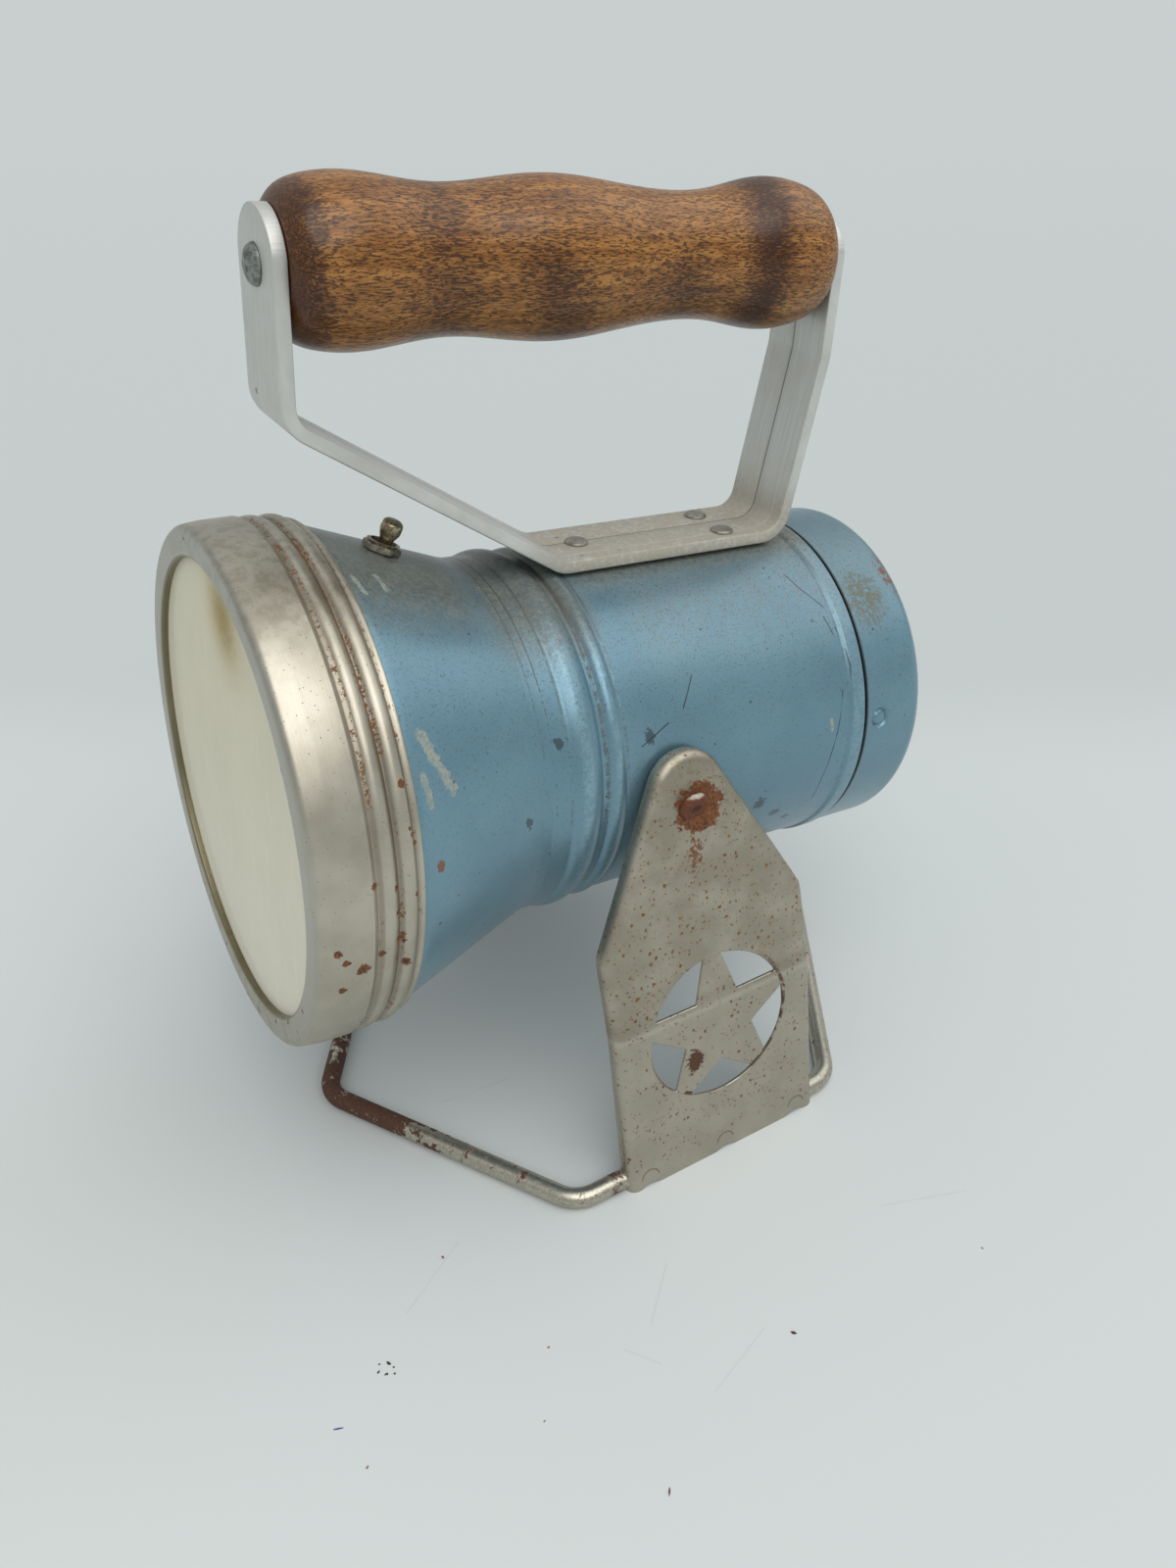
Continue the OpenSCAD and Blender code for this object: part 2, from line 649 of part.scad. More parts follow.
// rear cap with two pressed pips, and its paper liner
module rear_cap() {
  color("steelblue") in_lamp() rotate([-90, 0, 0]) difference() {
    union() {
      rotate_extrude($fn = fine) polygon(concat(
        [[cap_bore_r, cap_y], [cap_r - 0.3, cap_y], [cap_r, cap_y + 0.4]],
        arc(cap_r - cap_edge_r, cap_end_y - cap_edge_r, cap_edge_r, 0, 90, 5),
        [[0, cap_end_y], [0, cap_end_y - cap_t]],
        arc(cap_r - cap_edge_r, cap_end_y - cap_edge_r, cap_edge_r - cap_t, 90, 0, 4)));
      pip_places() translate([collar_bore_r, 0, pip_y]) rotate([0, 90, 0])
        cylinder(r = pip_r, h = cap_r - collar_bore_r - 0.35, $fn = small);
    }
    pip_places() translate([cap_r - 0.95, 0, pip_y]) rotate([0, 90, 0])
      cylinder(r1 = pip_r - 0.9, r2 = pip_r + 0.2, h = 1.3, $fn = small);
  }
}

module cap_liner() {
  color("tan") turned() polygon([[0, battery_end_y], [cap_bore_r - 4, battery_end_y],
    [cap_bore_r - 4, battery_end_y + liner_t], [0, battery_end_y + liner_t]]);
}

// side plates: x across the plate, y up along it, z outwards
half_w = plate_w / 2;
edge_way = atan2(-shoulder_drop - apex_c, half_w)
  + acos(apex_r / norm([half_w, -shoulder_drop - apex_c]));
edge_n = [cos(edge_way), sin(edge_way)];
function shoulder(i) = [half_w - i,
  apex_c + (apex_r - i - edge_n[0] * (half_w - i)) / edge_n[1]];

// cut across the plate, and cut through its round top
module pan_line(o) {
  r = edge_r - o;
  d = flange_d + (o > 0 ? 1 : 0);
  polygon(concat([[-half_w + o, -d]],
    arc(-half_w + edge_r, -edge_r, r, 180, 90, 4),
    arc(half_w - edge_r, -edge_r, r, 90, 0, 4),
    [[half_w - o, -d]]));
}

module pan_top_line(o) {
  r = edge_r - o;
  d = flange_d + (o > 0 ? 1 : 0);
  polygon(concat([[0, -d], [apex_r - o, -d]],
    arc(apex_r - edge_r, -edge_r, r, 0, 90, 4), [[0, -o]]));
}

module upper_pan(o) {
  s = shoulder(o);
  hull() {
    translate([0, s[1], 0]) rotate([90, 0, 0])
      linear_extrude(crease_drop + 12 + s[1]) pan_line(o);
    translate([0, apex_c, 0]) rotate_extrude($fn = middle) pan_top_line(o);
  }
}

module low_pan(o) {
  translate([0, 12, 0]) rotate([90, 0, 0]) linear_extrude(low_drop + 24) pan_line(o);
}

// five windows that leave the star standing in its round
module star_windows() {
  big = star_d / 2;
  inner = big * 0.52;
  half = asin(arm_w / 2 / big);
  for (k = [0 : 4]) rotate([0, 0, 90 - 36 - 72 * k])
    translate([0, 0, -flange_d - 2]) hull() {
      linear_extrude(flange_d + 6)
        polygon(concat([[inner, 0]], arc(0, 0, big, half - 36, 36 - half, 8)));
    }
}

module in_top() {
  translate([sheet_x, 0, pivot_z]) rotate([0, -splay_top, 0]) rotate([90, 0, 90]) children();
}
module in_low() {
  translate([crease_x, 0, crease_z]) rotate([0, -splay_low, 0]) rotate([90, 0, 90]) children();
}
module crease_block(z0) {
  translate([crease_x, 0, crease_z]) rotate([0, -(splay_top + splay_low) / 2, 0])
    translate([-60, -plate_w, z0]) cube([120, 2 * plate_w, 200]);
}

tab_y = plate_w / 2 - 6.2;
module wire_tab() {
  translate([wire_x, 2.5, wire_r]) rotate([90, 0, 0])
    rotate_extrude(angle = 185, $fn = middle)
      translate([wire_r + 0.05, 0]) square([0.8, 5]);
}

module plate_right() {
  difference() {
    union() {
      intersection() {
        in_top() difference() {
          upper_pan(0);
          upper_pan(plate_t);
        }
        crease_block(-0.02);
      }
      intersection() {
        in_low() difference() {
          low_pan(0);
          low_pan(plate_t);
        }
        crease_block(-199.98);
        translate([0, -plate_w, 0]) cube([200, 2 * plate_w, 200]);
      }
      for (k = [-1, 0, 1]) translate([0, k * tab_y, 0]) wire_tab();
    }
    // windows, pivot hole, room for the wire and the scallops of the foot
    in_low() translate([0, crease_drop - star_drop, 0]) star_windows();
    translate([0, 0, pivot_z]) rotate([0, 90, 0])
      cylinder(r = shank_r + seat_fit, h = sheet_x + 20, $fn = small);
    for (k = [-1, 1]) translate([foot_x - 20, k * (tab_y + 6) - 3, -1])
      cube([wire_x - foot_x + 20, 6, wire_d + 1.6]);
    translate([wire_x, -plate_w, wire_r]) rotate([-90, 0, 0])
      cylinder(r = wire_r + 0.04, h = 2 * plate_w, $fn = middle);
    for (k = [-1, 0, 1]) translate([foot_x - 3, k * tab_y, 0]) rotate([0, 90, 0]) hull() {
      translate([3.6, 0, 0]) cylinder(r = 4.6, h = 8, $fn = small);
      translate([7, 0, 0]) cylinder(r = 4.6, h = 8, $fn = small);
    }
  }
}

module side_plate_right() {
  color("silver") plate_right();
}

module side_plate_left() {
  color("silver") mirror([1, 0, 0]) plate_right();
}

// base wire: a closed loop of straight runs and round bends, drawn anticlockwise
wire_corners = [[wire_x, -wire_side], [wire_x, wire_side], [0, wire_reach],
  [-wire_x, wire_side], [-wire_x, -wire_side], [0, -wire_reach]];
function nth(i) = wire_corners[(i + 6) % 6] - [0, wire_ahead];
function wire_turn(i) = turn_of(nth(i - 1), nth(i), nth(i + 1));
function wire_back(i) = wire_bend * tan(wire_turn(i) / 2);

// the loop is one closed tube: rings of points along its bends
wire_sides = 12;
wire_steps = 6;
function bend_ring(i, k) = let (u = dir(nth(i - 1), nth(i)),
  way = atan2(u[1], u[0]) - 90 + wire_turn(i) * k / wire_steps,
  c = nth(i) - u * wire_back(i) + [-u[1], u[0]] * wire_bend)
  [for (j = [0 : wire_sides - 1]) let (b = 360 * j / wire_sides,
    r = wire_bend + wire_r * cos(b))
    [c[0] + r * cos(way), c[1] + r * sin(way), wire_r + wire_r * sin(b)]];
wire_points = [for (i = [0 : 5]) for (k = [0 : wire_steps]) each bend_ring(i, k)];
wire_rings = 6 * (wire_steps + 1);
wire_faces = [for (i = [0 : wire_rings - 1]) for (j = [0 : wire_sides - 1])
  let (a = i * wire_sides + j, b = i * wire_sides + (j + 1) % wire_sides,
    c = ((i + 1) % wire_rings) * wire_sides + (j + 1) % wire_sides,
    d = ((i + 1) % wire_rings) * wire_sides + j)
    each [[a, b, c], [a, c, d]]];

module base_wire() {
  color("silver") polyhedron(points = wire_points, faces = wire_faces);
}

base_wire();
side_plate_right();
side_plate_left();
pivot_rivets();
lamp_shell();
pivot_bushings();
contact_board();
centre_contact();
corner_contact();
switch_case();
switch_nut();
switch_lever();
battery_case();
battery_lid();
centre_spring();
corner_spring();
handle_bar();
bar_rivets();
grip();
grip_bolt();
grip_nut();
glass();
gasket();
reflector();
bulb_holder();
bulb_base();
bulb_globe();
lens_ring();
rear_cap();
cap_liner();
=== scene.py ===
import random
from functools import reduce
from math import acos, asin, atan, atan2, cos, degrees, exp, hypot, inf, pi, radians, sin, sqrt, tan

import bmesh
import bpy
from mathutils import Matrix, Vector, noise
from mathutils.geometry import delaunay_2d_cdt


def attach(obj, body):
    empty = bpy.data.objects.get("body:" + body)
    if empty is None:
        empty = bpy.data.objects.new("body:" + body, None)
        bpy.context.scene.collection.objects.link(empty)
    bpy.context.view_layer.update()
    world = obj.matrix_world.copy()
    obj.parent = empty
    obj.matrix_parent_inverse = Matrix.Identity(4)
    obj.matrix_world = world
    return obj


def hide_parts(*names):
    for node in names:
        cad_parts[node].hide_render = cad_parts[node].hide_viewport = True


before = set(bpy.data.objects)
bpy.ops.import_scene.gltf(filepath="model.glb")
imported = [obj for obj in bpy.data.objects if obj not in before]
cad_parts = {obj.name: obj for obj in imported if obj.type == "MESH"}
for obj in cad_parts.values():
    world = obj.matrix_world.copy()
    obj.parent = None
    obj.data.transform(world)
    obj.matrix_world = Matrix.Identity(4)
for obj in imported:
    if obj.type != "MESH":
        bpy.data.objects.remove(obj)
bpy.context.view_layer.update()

# Sizes, in millimetres
TILT, PIVOT_Y, PIVOT_Z = radians(4.9), 92.0, 97.38171
RING_R, RING_W, OPEN_R = 60.0, 22.0, 52.75
NECK_R, NECK_Y, CONE_Y, WAIST_Y = 57.13, 5.06, 23.6, 57.2
TUBE_R, TUBE_Y, BAND_Y, BAND_END = 44.2685, 78.9, 144.6, 149.8
WALL, COLLAR_R, COLLAR_IN, COLLAR_END = 0.8, 43.3985, 42.5985, 160.7
CAP_R, CAP_IN, CAP_T, CAP_Y, CAP_END = 44.3685, 43.4685, 0.9, 150.4, 170.6
CONE_A = atan((NECK_R - TUBE_R - 0.4) / (WAIST_Y - CONE_Y))
STRAP_W, STRAP_T, GRIP_H = 21.5, 3.0, 112.0
GRIP_MID, GRIP_L, GRIP_LEAN, WOOD_RISE = 82.032, 130.064, radians(0.7), 0.75
SWITCH_Y, SWITCH_Z = 37.2, 52.0861
SPLAY_TOP, SPLAY_LOW = radians(14.2), radians(7.6)
SHEET_X, CREASE_DROP, PLATE_DROP, PLATE_W, PLATE_T = 51.4185, 52.6, 99.4, 58.4, 0.9
FLANGE_D, EDGE_R, APEX_R, APEX_C = 4.1, 2.6, 10.2, 3.2
STAR_R, STAR_ARM, STAR_DROP, STAR_Z = 19.8, 5.1, 59.6, 40.15
SCALLOPS, SCALLOP_R, SCALLOP_LOW, SCALLOP_HALF = (-23.0, 0.0, 23.0), 4.6, 3.6, 2.86
WIRE_X, WIRE_R = 66.6975, 2.5

# Places: from the coordinates of a group to the row's
ROW = Matrix.Identity(4)
MIRROR = Matrix.Scale(-1, 4, (1, 0, 0))
UPRIGHT = Matrix.Rotation(radians(90), 4, "X")


def moved(x, y, z):
    return Matrix.Translation((x, y, z))


LAMP = moved(0, 0, PIVOT_Z) @ Matrix.Rotation(-TILT, 4, "X") @ moved(0, -PIVOT_Y, 0)
GRIP = LAMP @ moved(0, GRIP_MID, GRIP_H) @ Matrix.Rotation(-GRIP_LEAN, 4, "X")
WOOD = LAMP @ moved(0, GRIP_MID, GRIP_H + WOOD_RISE)
SWITCH = LAMP @ moved(0, SWITCH_Y, SWITCH_Z) @ Matrix.Rotation(-CONE_A, 4, "X")


# Mesh helpers
def make(name, mesh_data, material, body, nodes, place=LAMP, angle=40):
    """A piece of the given points and faces, smooth up to the given angle, in place of its nodes."""
    verts, faces = mesh_data
    mesh = bpy.data.meshes.new(name)
    mesh.from_pydata([place @ Vector(v) * 0.001 for v in verts], [], faces)
    bm = bmesh.new()
    bm.from_mesh(mesh)
    bmesh.ops.remove_doubles(bm, verts=bm.verts, dist=1e-6)
    bmesh.ops.recalc_face_normals(bm, faces=bm.faces)
    bm.to_mesh(mesh)
    bm.free()
    mesh.shade_smooth()
    mesh.set_sharp_from_angle(angle=radians(angle))
    mesh.materials.append(MAT[material])
    ob = bpy.data.objects.new(name, mesh)
    bpy.context.scene.collection.objects.link(ob)
    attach(ob, body)
    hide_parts(*nodes)


def rounded(corners, closed=True, step=12):
    """A line with round corners: corners are (a, b, radius)."""
    out, n = [], len(corners)
    for i, (x, y, r) in enumerate(corners):
        p = Vector((x, y))
        if r <= 0 or (not closed and i in (0, n - 1)):
            out.append((x, y))
            continue
        a = Vector(corners[i - 1][:2]) - p
        b = Vector(corners[(i + 1) % n][:2]) - p
        la, lb = a.length, b.length
        a.normalize()
        b.normalize()
        half = acos(max(-1, min(1, a.dot(b)))) / 2
        if half > radians(89.5):
            out.append((x, y))
            continue
        back = min(r / tan(half), la * 0.495, lb * 0.495)
        r = back * tan(half)
        c = p + (a + b).normalized() * (r / sin(half))
        u, v = p + a * back - c, p + b * back - c
        turn = u.angle(v)
        k = max(2, int(degrees(turn) / step))
        for j in range(k + 1):
            w = (u * sin(turn * (1 - j / k)) + v * sin(turn * j / k)) / sin(turn)
            out.append(tuple(c + w))
    return out


def split_long(line, longest):
    """The same closed line with no piece longer than longest, a length or a function of its two ends."""
    out = []
    for i, p in enumerate(line):
        q = line[(i + 1) % len(line)]
        limit = longest(p, q) if callable(longest) else longest
        k = max(1, int(hypot(q[0] - p[0], q[1] - p[1]) / limit + 0.999))
        out += [(p[0] + (q[0] - p[0]) * j / k, p[1] + (q[1] - p[1]) * j / k) for j in range(k)]
    return out


def turned(line, steps, move=None):
    """A closed line of (radius, y) turned about the y axis."""
    verts, faces, n = [], [], len(line)
    for i in range(steps):
        a = 2 * pi * i / steps
        for r, y in line:
            if move and r > 0:
                r, y = move(a, r, y)
            verts.append((r * cos(a), y, r * sin(a)))
    for i in range(steps):
        for j in range(n):
            k, m = (i + 1) % steps, (j + 1) % n
            if line[j][0] == 0 and line[m][0] == 0:
                continue
            faces.append((i * n + j, i * n + m, k * n + m, k * n + j))
    return verts, faces


def swept(rings, loop=False):
    """A skin over a run of rings with one number of points each: a loop, or closed at both ends."""
    n, count = len(rings[0]), len(rings)
    verts = [p for ring in rings for p in ring]
    faces = []
    for i in range(count if loop else count - 1):
        a, b = i * n, (i + 1) % count * n
        faces += [(a + j, a + (j + 1) % n, b + (j + 1) % n, b + j) for j in range(n)]
    if not loop:
        faces.append(tuple(range(n - 1, -1, -1)))
        faces.append(tuple(range((count - 1) * n, count * n)))
    return verts, faces


def circle(r, n=48):
    return [(r * cos(2 * pi * i / n), r * sin(2 * pi * i / n)) for i in range(n)]


def hexagon(corner, cut, k):
    """A nut's outline, with its corners cut round, k times as large."""
    out = []
    for i, (x, y) in enumerate(circle(k)):
        turn = (2 * pi * i / 48) % (pi / 3) - pi / 6
        r = min(corner * cos(pi / 6) / cos(turn), cut)
        out.append((r * x, r * y))
    return out


def bead(y0, w, r, h, n=12):
    """A rolled bead of width w and height h on a wall of radius r."""
    return [(r + h * (1 - (2 * i / n - 1) ** 2), y0 + w * i / n, 0) for i in range(1, n)]


# Shader helpers
class V:
    """A value in a node tree, with arithmetic."""

    def __init__(self, tree, socket):
        self.tree, self.socket = tree, socket

    def math(self, op, *others):
        n = self.tree.node("Math", dict(enumerate((self, *others))), operation=op)
        return V(self.tree, n.outputs[0])

    def __rsub__(self, other):
        return self * -1 + other

    def inv(self):
        return self * -1 + 1

    def step(self, lo, hi):
        """Smooth step from 0 at lo to 1 at hi."""
        a, b = (1.0, 0.0) if lo > hi else (0.0, 1.0)
        n = self.tree.node("MapRange", {"Value": self, "From Min": min(lo, hi), "From Max": max(lo, hi),
                                        "To Min": a, "To Max": b}, interpolation_type="SMOOTHSTEP")
        return V(self.tree, n.outputs["Result"])

    def band(self, c, w, soft):
        """1 near c, 0 farther away than w."""
        return (self - c).abs().step(w + soft, max(w - soft, 0))


for method, operation in (("__add__", "ADD"), ("__sub__", "SUBTRACT"), ("__mul__", "MULTIPLY"),
                          ("__truediv__", "DIVIDE"), ("max", "MAXIMUM"), ("min", "MINIMUM"),
                          ("abs", "ABSOLUTE"), ("atan2", "ARCTAN2"), ("sqrt", "SQRT")):
    setattr(V, method, lambda self, *others, op=operation: self.math(op, *others))


def greatest(values):
    return reduce(V.max, values)


def far(a, b):
    """Distance from the middle, for two coordinates."""
    return (a * a + b * b).sqrt()


class Tree:
    """A node tree and the ways to fill it."""

    def __init__(self, node_tree):
        self.nodes, self.links = node_tree.nodes, node_tree.links

    def put(self, node, key, v):
        """Sets an input of a node to a value, a socket or a constant."""
        socket = node.inputs[key]
        if isinstance(v, V):
            self.links.new(v.socket, socket)
        elif hasattr(v, "is_output"):
            self.links.new(v, socket)
        else:
            socket.default_value = (*v, 1) if socket.type == "RGBA" else v

    def node(self, kind, inputs=None, **settings):
        """A new node with its settings and inputs."""
        n = self.nodes.new("ShaderNode" + kind)
        for key, v in settings.items():
            setattr(n, key, v)
        for key, v in (inputs or {}).items():
            self.put(n, key, v)
        return n

    def vector(self, op, *inputs):
        """Vector arithmetic; a distance and a dot product are values."""
        n = self.node("VectorMath", dict(enumerate(inputs)), operation=op)
        return V(self, n.outputs["Value"]) if op in ("DISTANCE", "DOT_PRODUCT") else n.outputs[0]

    def mix(self, f, a, b):
        return self.node("Mix", {0: f, 6: a, 7: b}, data_type="RGBA").outputs[2]

    def over(self, color, *coats):
        """A colour with coats laid over it in turn; each is (mask, colour)."""
        for mask, coat in coats:
            color = self.mix(mask, color, coat)
        return color


class Mat(Tree):
    """A material that is painted in a group's own coordinates, in millimetres."""

    INPUTS = {"color": "Base Color", "metal": "Metallic", "rough": "Roughness", "coat": "Coat Weight",
              "coat_rough": "Coat Roughness", "spec": "Specular IOR Level"}

    def __init__(self, name, place=ROW):
        self.mat = bpy.data.materials.new(name)
        self.mat.use_nodes = True
        super().__init__(self.mat.node_tree)
        self.p = self.nodes["Principled BSDF"]
        back = place.inverted()
        where = self.node("TexCoord").outputs["Object"]
        self.pos = self.node("Mapping", {
            "Vector": where, "Scale": (1000, 1000, 1000), "Location": back.translation,
            "Rotation": back.to_euler("XYZ")}).outputs["Vector"]
        self.x, self.y, self.z = (V(self, s) for s in self.node("SeparateXYZ", {0: self.pos}).outputs)

    def stretched(self, kx, ky, kz):
        """Coordinates scaled along each axis."""
        return self.vec(self.x * kx, self.y * ky, self.z * kz)

    def vec(self, x, y, z):
        return self.node("CombineXYZ", {0: x, 1: y, 2: z}).outputs[0]

    def noise(self, scale, detail=3, rough=0.55, at=None, warp=0.0, seed=0.0):
        n = self.node("TexNoise", {"Vector": at or self.pos, "W": seed, "Scale": scale, "Detail": detail,
                                   "Roughness": rough, "Distortion": warp}, noise_dimensions="4D")
        return V(self, n.outputs[0])

    def cells(self, scale, at=None):
        """Distance from the nearest of many scattered points, and two random numbers of that point."""
        n = self.node("TexVoronoi", {"Vector": at or self.pos, "Scale": scale})
        split = self.node("SeparateColor", {0: n.outputs["Color"]})
        return V(self, n.outputs["Distance"]), V(self, split.outputs[0]), V(self, split.outputs[1])

    def away(self, c, r=(1, 1, 1)):
        """Distance from a point, with its own scale along each axis."""
        if r == (1, 1, 1):
            return self.vector("DISTANCE", self.pos, c)
        scaled = self.vector("MULTIPLY", self.pos, tuple(1 / k for k in r))
        return self.vector("DISTANCE", scaled, tuple(p / k for p, k in zip(c, r)))

    def patch(self, c, r, rag, lo, hi):
        """Mask of a patch round a point, with a ragged edge between the distances lo and hi."""
        return (self.away(c, r) + rag).step(lo, hi)

    def line(self, a, b):
        """Distance from the straight piece between two points."""
        d = Vector(b) - Vector(a)
        from_a = self.vector("SUBTRACT", self.pos, Vector(a))
        t = self.vector("DOT_PRODUCT", from_a, d / d.length_squared).max(0.0).min(1.0)
        nearest = self.node("VectorMath", {0: d, "Scale": t}, operation="SCALE").outputs[0]
        return self.vector("DISTANCE", from_a, nearest)

    def course(self, points):
        """Distance from the bent line through the points."""
        return reduce(V.min, [self.line(a, b) for a, b in zip(points, points[1:])])

    def scratch(self, points, width, rag):
        """Mask of a thin mark through the points."""
        return (self.course(points) + rag).step(width * 1.3, width * 0.5)

    def bump(self, height, strength, distance):
        n = self.node("Bump", {"Strength": strength, "Distance": distance, "Height": height})
        self.put(self.p, "Normal", n.outputs[0])

    def set(self, **inputs):
        for key, v in inputs.items():
            self.put(self.p, self.INPUTS[key], v)
        return self.mat


def plain(name, color, metal=0.0, rough=0.5):
    """A quiet material with a little unevenness of colour and gloss."""
    m = Mat(name)
    n = m.noise(0.35, 4, 0.6)
    dark = tuple(c * 0.82 for c in color)
    return m.set(color=m.mix(n, dark, color), metal=metal, rough=n * 0.16 + (rough - 0.08))


# Materials of the stand
RUST_LIGHT, RUST, RUST_DARK = (0.33, 0.140, 0.030), (0.175, 0.058, 0.015), (0.050, 0.020, 0.011)


def rust_color(m):
    n = m.noise(1.3, 4, 0.7, seed=3.0)
    return m.mix(n.step(0.58, 0.72), m.mix(n.step(0.36, 0.55), RUST_DARK, RUST), RUST_LIGHT)


def plate_specks(m):
    """Rust specks in ragged cells of two sizes, picked by a slow noise, and halos round the large ones."""
    clouds = m.node("TexNoise", {"Vector": m.pos, "Scale": 1.4, "Detail": 4}).outputs["Color"]
    torn = m.vector("MULTIPLY_ADD", clouds, (1.5, 1.5, 1.5), m.pos)
    d1, pick1, size1 = m.cells(0.62, at=torn)
    d2, pick2, size2 = m.cells(1.35, at=torn)
    size1 = size1 * 0.26 + 0.04
    size2 = size2 * 0.30 + 0.10
    ragged = m.noise(3.0, 3, 0.6, seed=8.0) * 0.5
    where = m.noise(0.16, 2, 0.5, seed=11.0)
    above = m.z.step(42, 52)
    on1 = (pick1 + where * 1.1 + above * 0.24).step(1.17, 1.23)
    on2 = (pick2 + where * 0.9 + above * 0.12).step(1.14, 1.19)
    large = (size1 - d1 - ragged + 0.26).step(0.0, 0.05) * on1
    small = (size2 - d2 - ragged + 0.24).step(0.0, 0.05) * on2
    halo = (size1 - d1 + 0.16).step(0.0, 0.25) * on1 * 0.35
    return large.max(small * 0.85) * m.z.step(3, 8), halo


def stake_mark(m, y):
    """A half-round outline above a scallop of the foot."""
    dy, dz = m.y - y, m.z - 2.6
    return far(dy, dz).band(2.5, 0.18, 0.14) * dz.step(0.0, 0.5)


def plate_metal():
    """Worn nickel plate on the stand's sheets: rust specks, stains and the stake marks."""
    m = Mat("stand_nickel")
    across, up = m.y, m.z
    fine = m.noise(2.6, 5, 0.65)
    cloud = m.noise(0.10, 3, 0.55, seed=2.0)
    mid = m.noise(0.55, 4, 0.6, seed=5.0)
    olive = mid.step(0.5, 0.75) * up.step(60, 95) * m.x.abs().step(54.5, 51) * 0.6
    # painted light below the crease, a painted shade band above it and a painted glint along it, and olive
    # tarnish near the top
    base = m.over(m.mix(cloud.step(0.35, 0.7), (0.345, 0.312, 0.248), (0.445, 0.41, 0.335)),
                  (up.step(48.0, 45.2) * 0.45, (0.47, 0.435, 0.365)),
                  (up.band(48.8, 0.8, 2.6) * 0.32, (0.26, 0.235, 0.185)),
                  (up.band(45.9, 0.4, 0.9) * 0.30, (0.62, 0.59, 0.52)),
                  (olive, (0.20, 0.20, 0.10)))
    speck, halo = plate_specks(m)
    # rust round the pivot rivet, a drip below it, and a dark patch beside the lower window
    q = m.noise(0.55, 4, 0.65, seed=20.0)
    rivet = m.patch((SHEET_X, 1.6, 96.4), (30, 6.6, 6.0), (q - 0.5) * 1.5, 1.06, 0.94)
    q = m.noise(0.9, 4, 0.75, seed=22.0)
    drip = m.patch((SHEET_X, -1, 85.5), (30, 2.8, 6), (q - 0.5) * 4.6, 0.62, 0.42)
    q = m.noise(0.9, 4, 0.7, seed=25.0)
    stain = m.patch((70, -7.6, 32.2), (30, 2.6, 3.6), (q - 0.5) * 2.6, 0.92, 0.75)
    # stained edges of the lower windows
    rim = far(across, (up - STAR_Z) / cos(SPLAY_LOW)).band(STAR_R + 0.15, 0.5, 0.3)
    rim = rim * m.noise(0.35, 3, 0.6, seed=31.0).step(0.40, 0.50) * (up * -1 + across * 0.5).step(-52, -34)
    # the drip and the dark patch are on the right plate only
    rust = speck.max(rivet).max(drip * 0.9).max(stain).max(rim * 0.8)
    rust = speck.max(rim * 0.8).max(rust * m.x.step(-5, 5)).max(rivet)
    stake = greatest([stake_mark(m, y) for y in SCALLOPS])
    pits = m.cells(0.9)[0].step(0.13, 0.06) * up.step(34, 18)
    pits = pits * m.noise(0.12, 2, 0.5, seed=40.0).step(0.5, 0.6)
    color = m.over(base, (rust, rust_color(m)),
                   (speck * 0.75, m.mix(fine.step(0.4, 0.6), (0.085, 0.036, 0.010), (0.26, 0.105, 0.016))),
                   (stain.max(rim) * 0.7, (0.045, 0.022, 0.014)),
                   (halo * rust.inv() * up.step(3, 8), (0.26, 0.165, 0.065)),
                   (stake * 0.75, (0.16, 0.13, 0.09)),
                   (pits * 0.8, (0.05, 0.04, 0.03)))
    grain = m.noise(1.0, 3, 0.6, at=m.stretched(3, 0.35, 6))
    m.bump(fine * 0.25 + mid * 0.35 + rust * 0.6 - stake * 1.2 - pits * 0.8 + grain * 0.12, 0.55, 0.00012)
    return m.set(color=color, metal=rust.inv() * 0.92, rough=fine * 0.14 + mid * 0.12 + rust * 0.4 + 0.27)


def wire_metal():
    """Nickel-plated wire, rusted heavily on one run to the front bend, and near the plate's foot."""
    m = Mat("wire_nickel")
    n = m.noise(0.32, 5, 0.68)
    fine = m.noise(1.7, 4, 0.65, seed=4.0)
    base = m.mix(fine.step(0.35, 0.75), (0.40, 0.37, 0.30), (0.60, 0.565, 0.48))
    # heavy on the diagonal that runs to the front bend, from its middle on
    run = m.x.step(44, 12) * m.y.step(-46, -58) * m.x.step(-30, -4)
    heavy = (n + run * 0.24).step(0.585, 0.64)
    foot = m.away((WIRE_X, -31.5, 2.5)).step(6.0, 1.5)
    ends = (foot * 0.30 + n * 0.6 + fine * 0.25).step(0.62, 0.72)
    flecks = m.noise(0.9, 4, 0.7, seed=9.0).step(0.66, 0.70) * 0.9
    under = m.z.step(1.2, 0.2) * 0.5
    rust = heavy.max(ends * m.x.step(0, 20)).max(flecks).max(under * fine.step(0.4, 0.6))
    color = m.mix(rust, base, m.mix(fine.step(0.3, 0.7), RUST_DARK, (0.11, 0.045, 0.02)))
    m.bump(fine * 0.5 + rust * 0.5 + n * 0.4, 0.5, 0.00015)
    return m.set(color=color, metal=rust.inv() * 0.92, rough=fine * 0.16 + rust * 0.38 + 0.24)


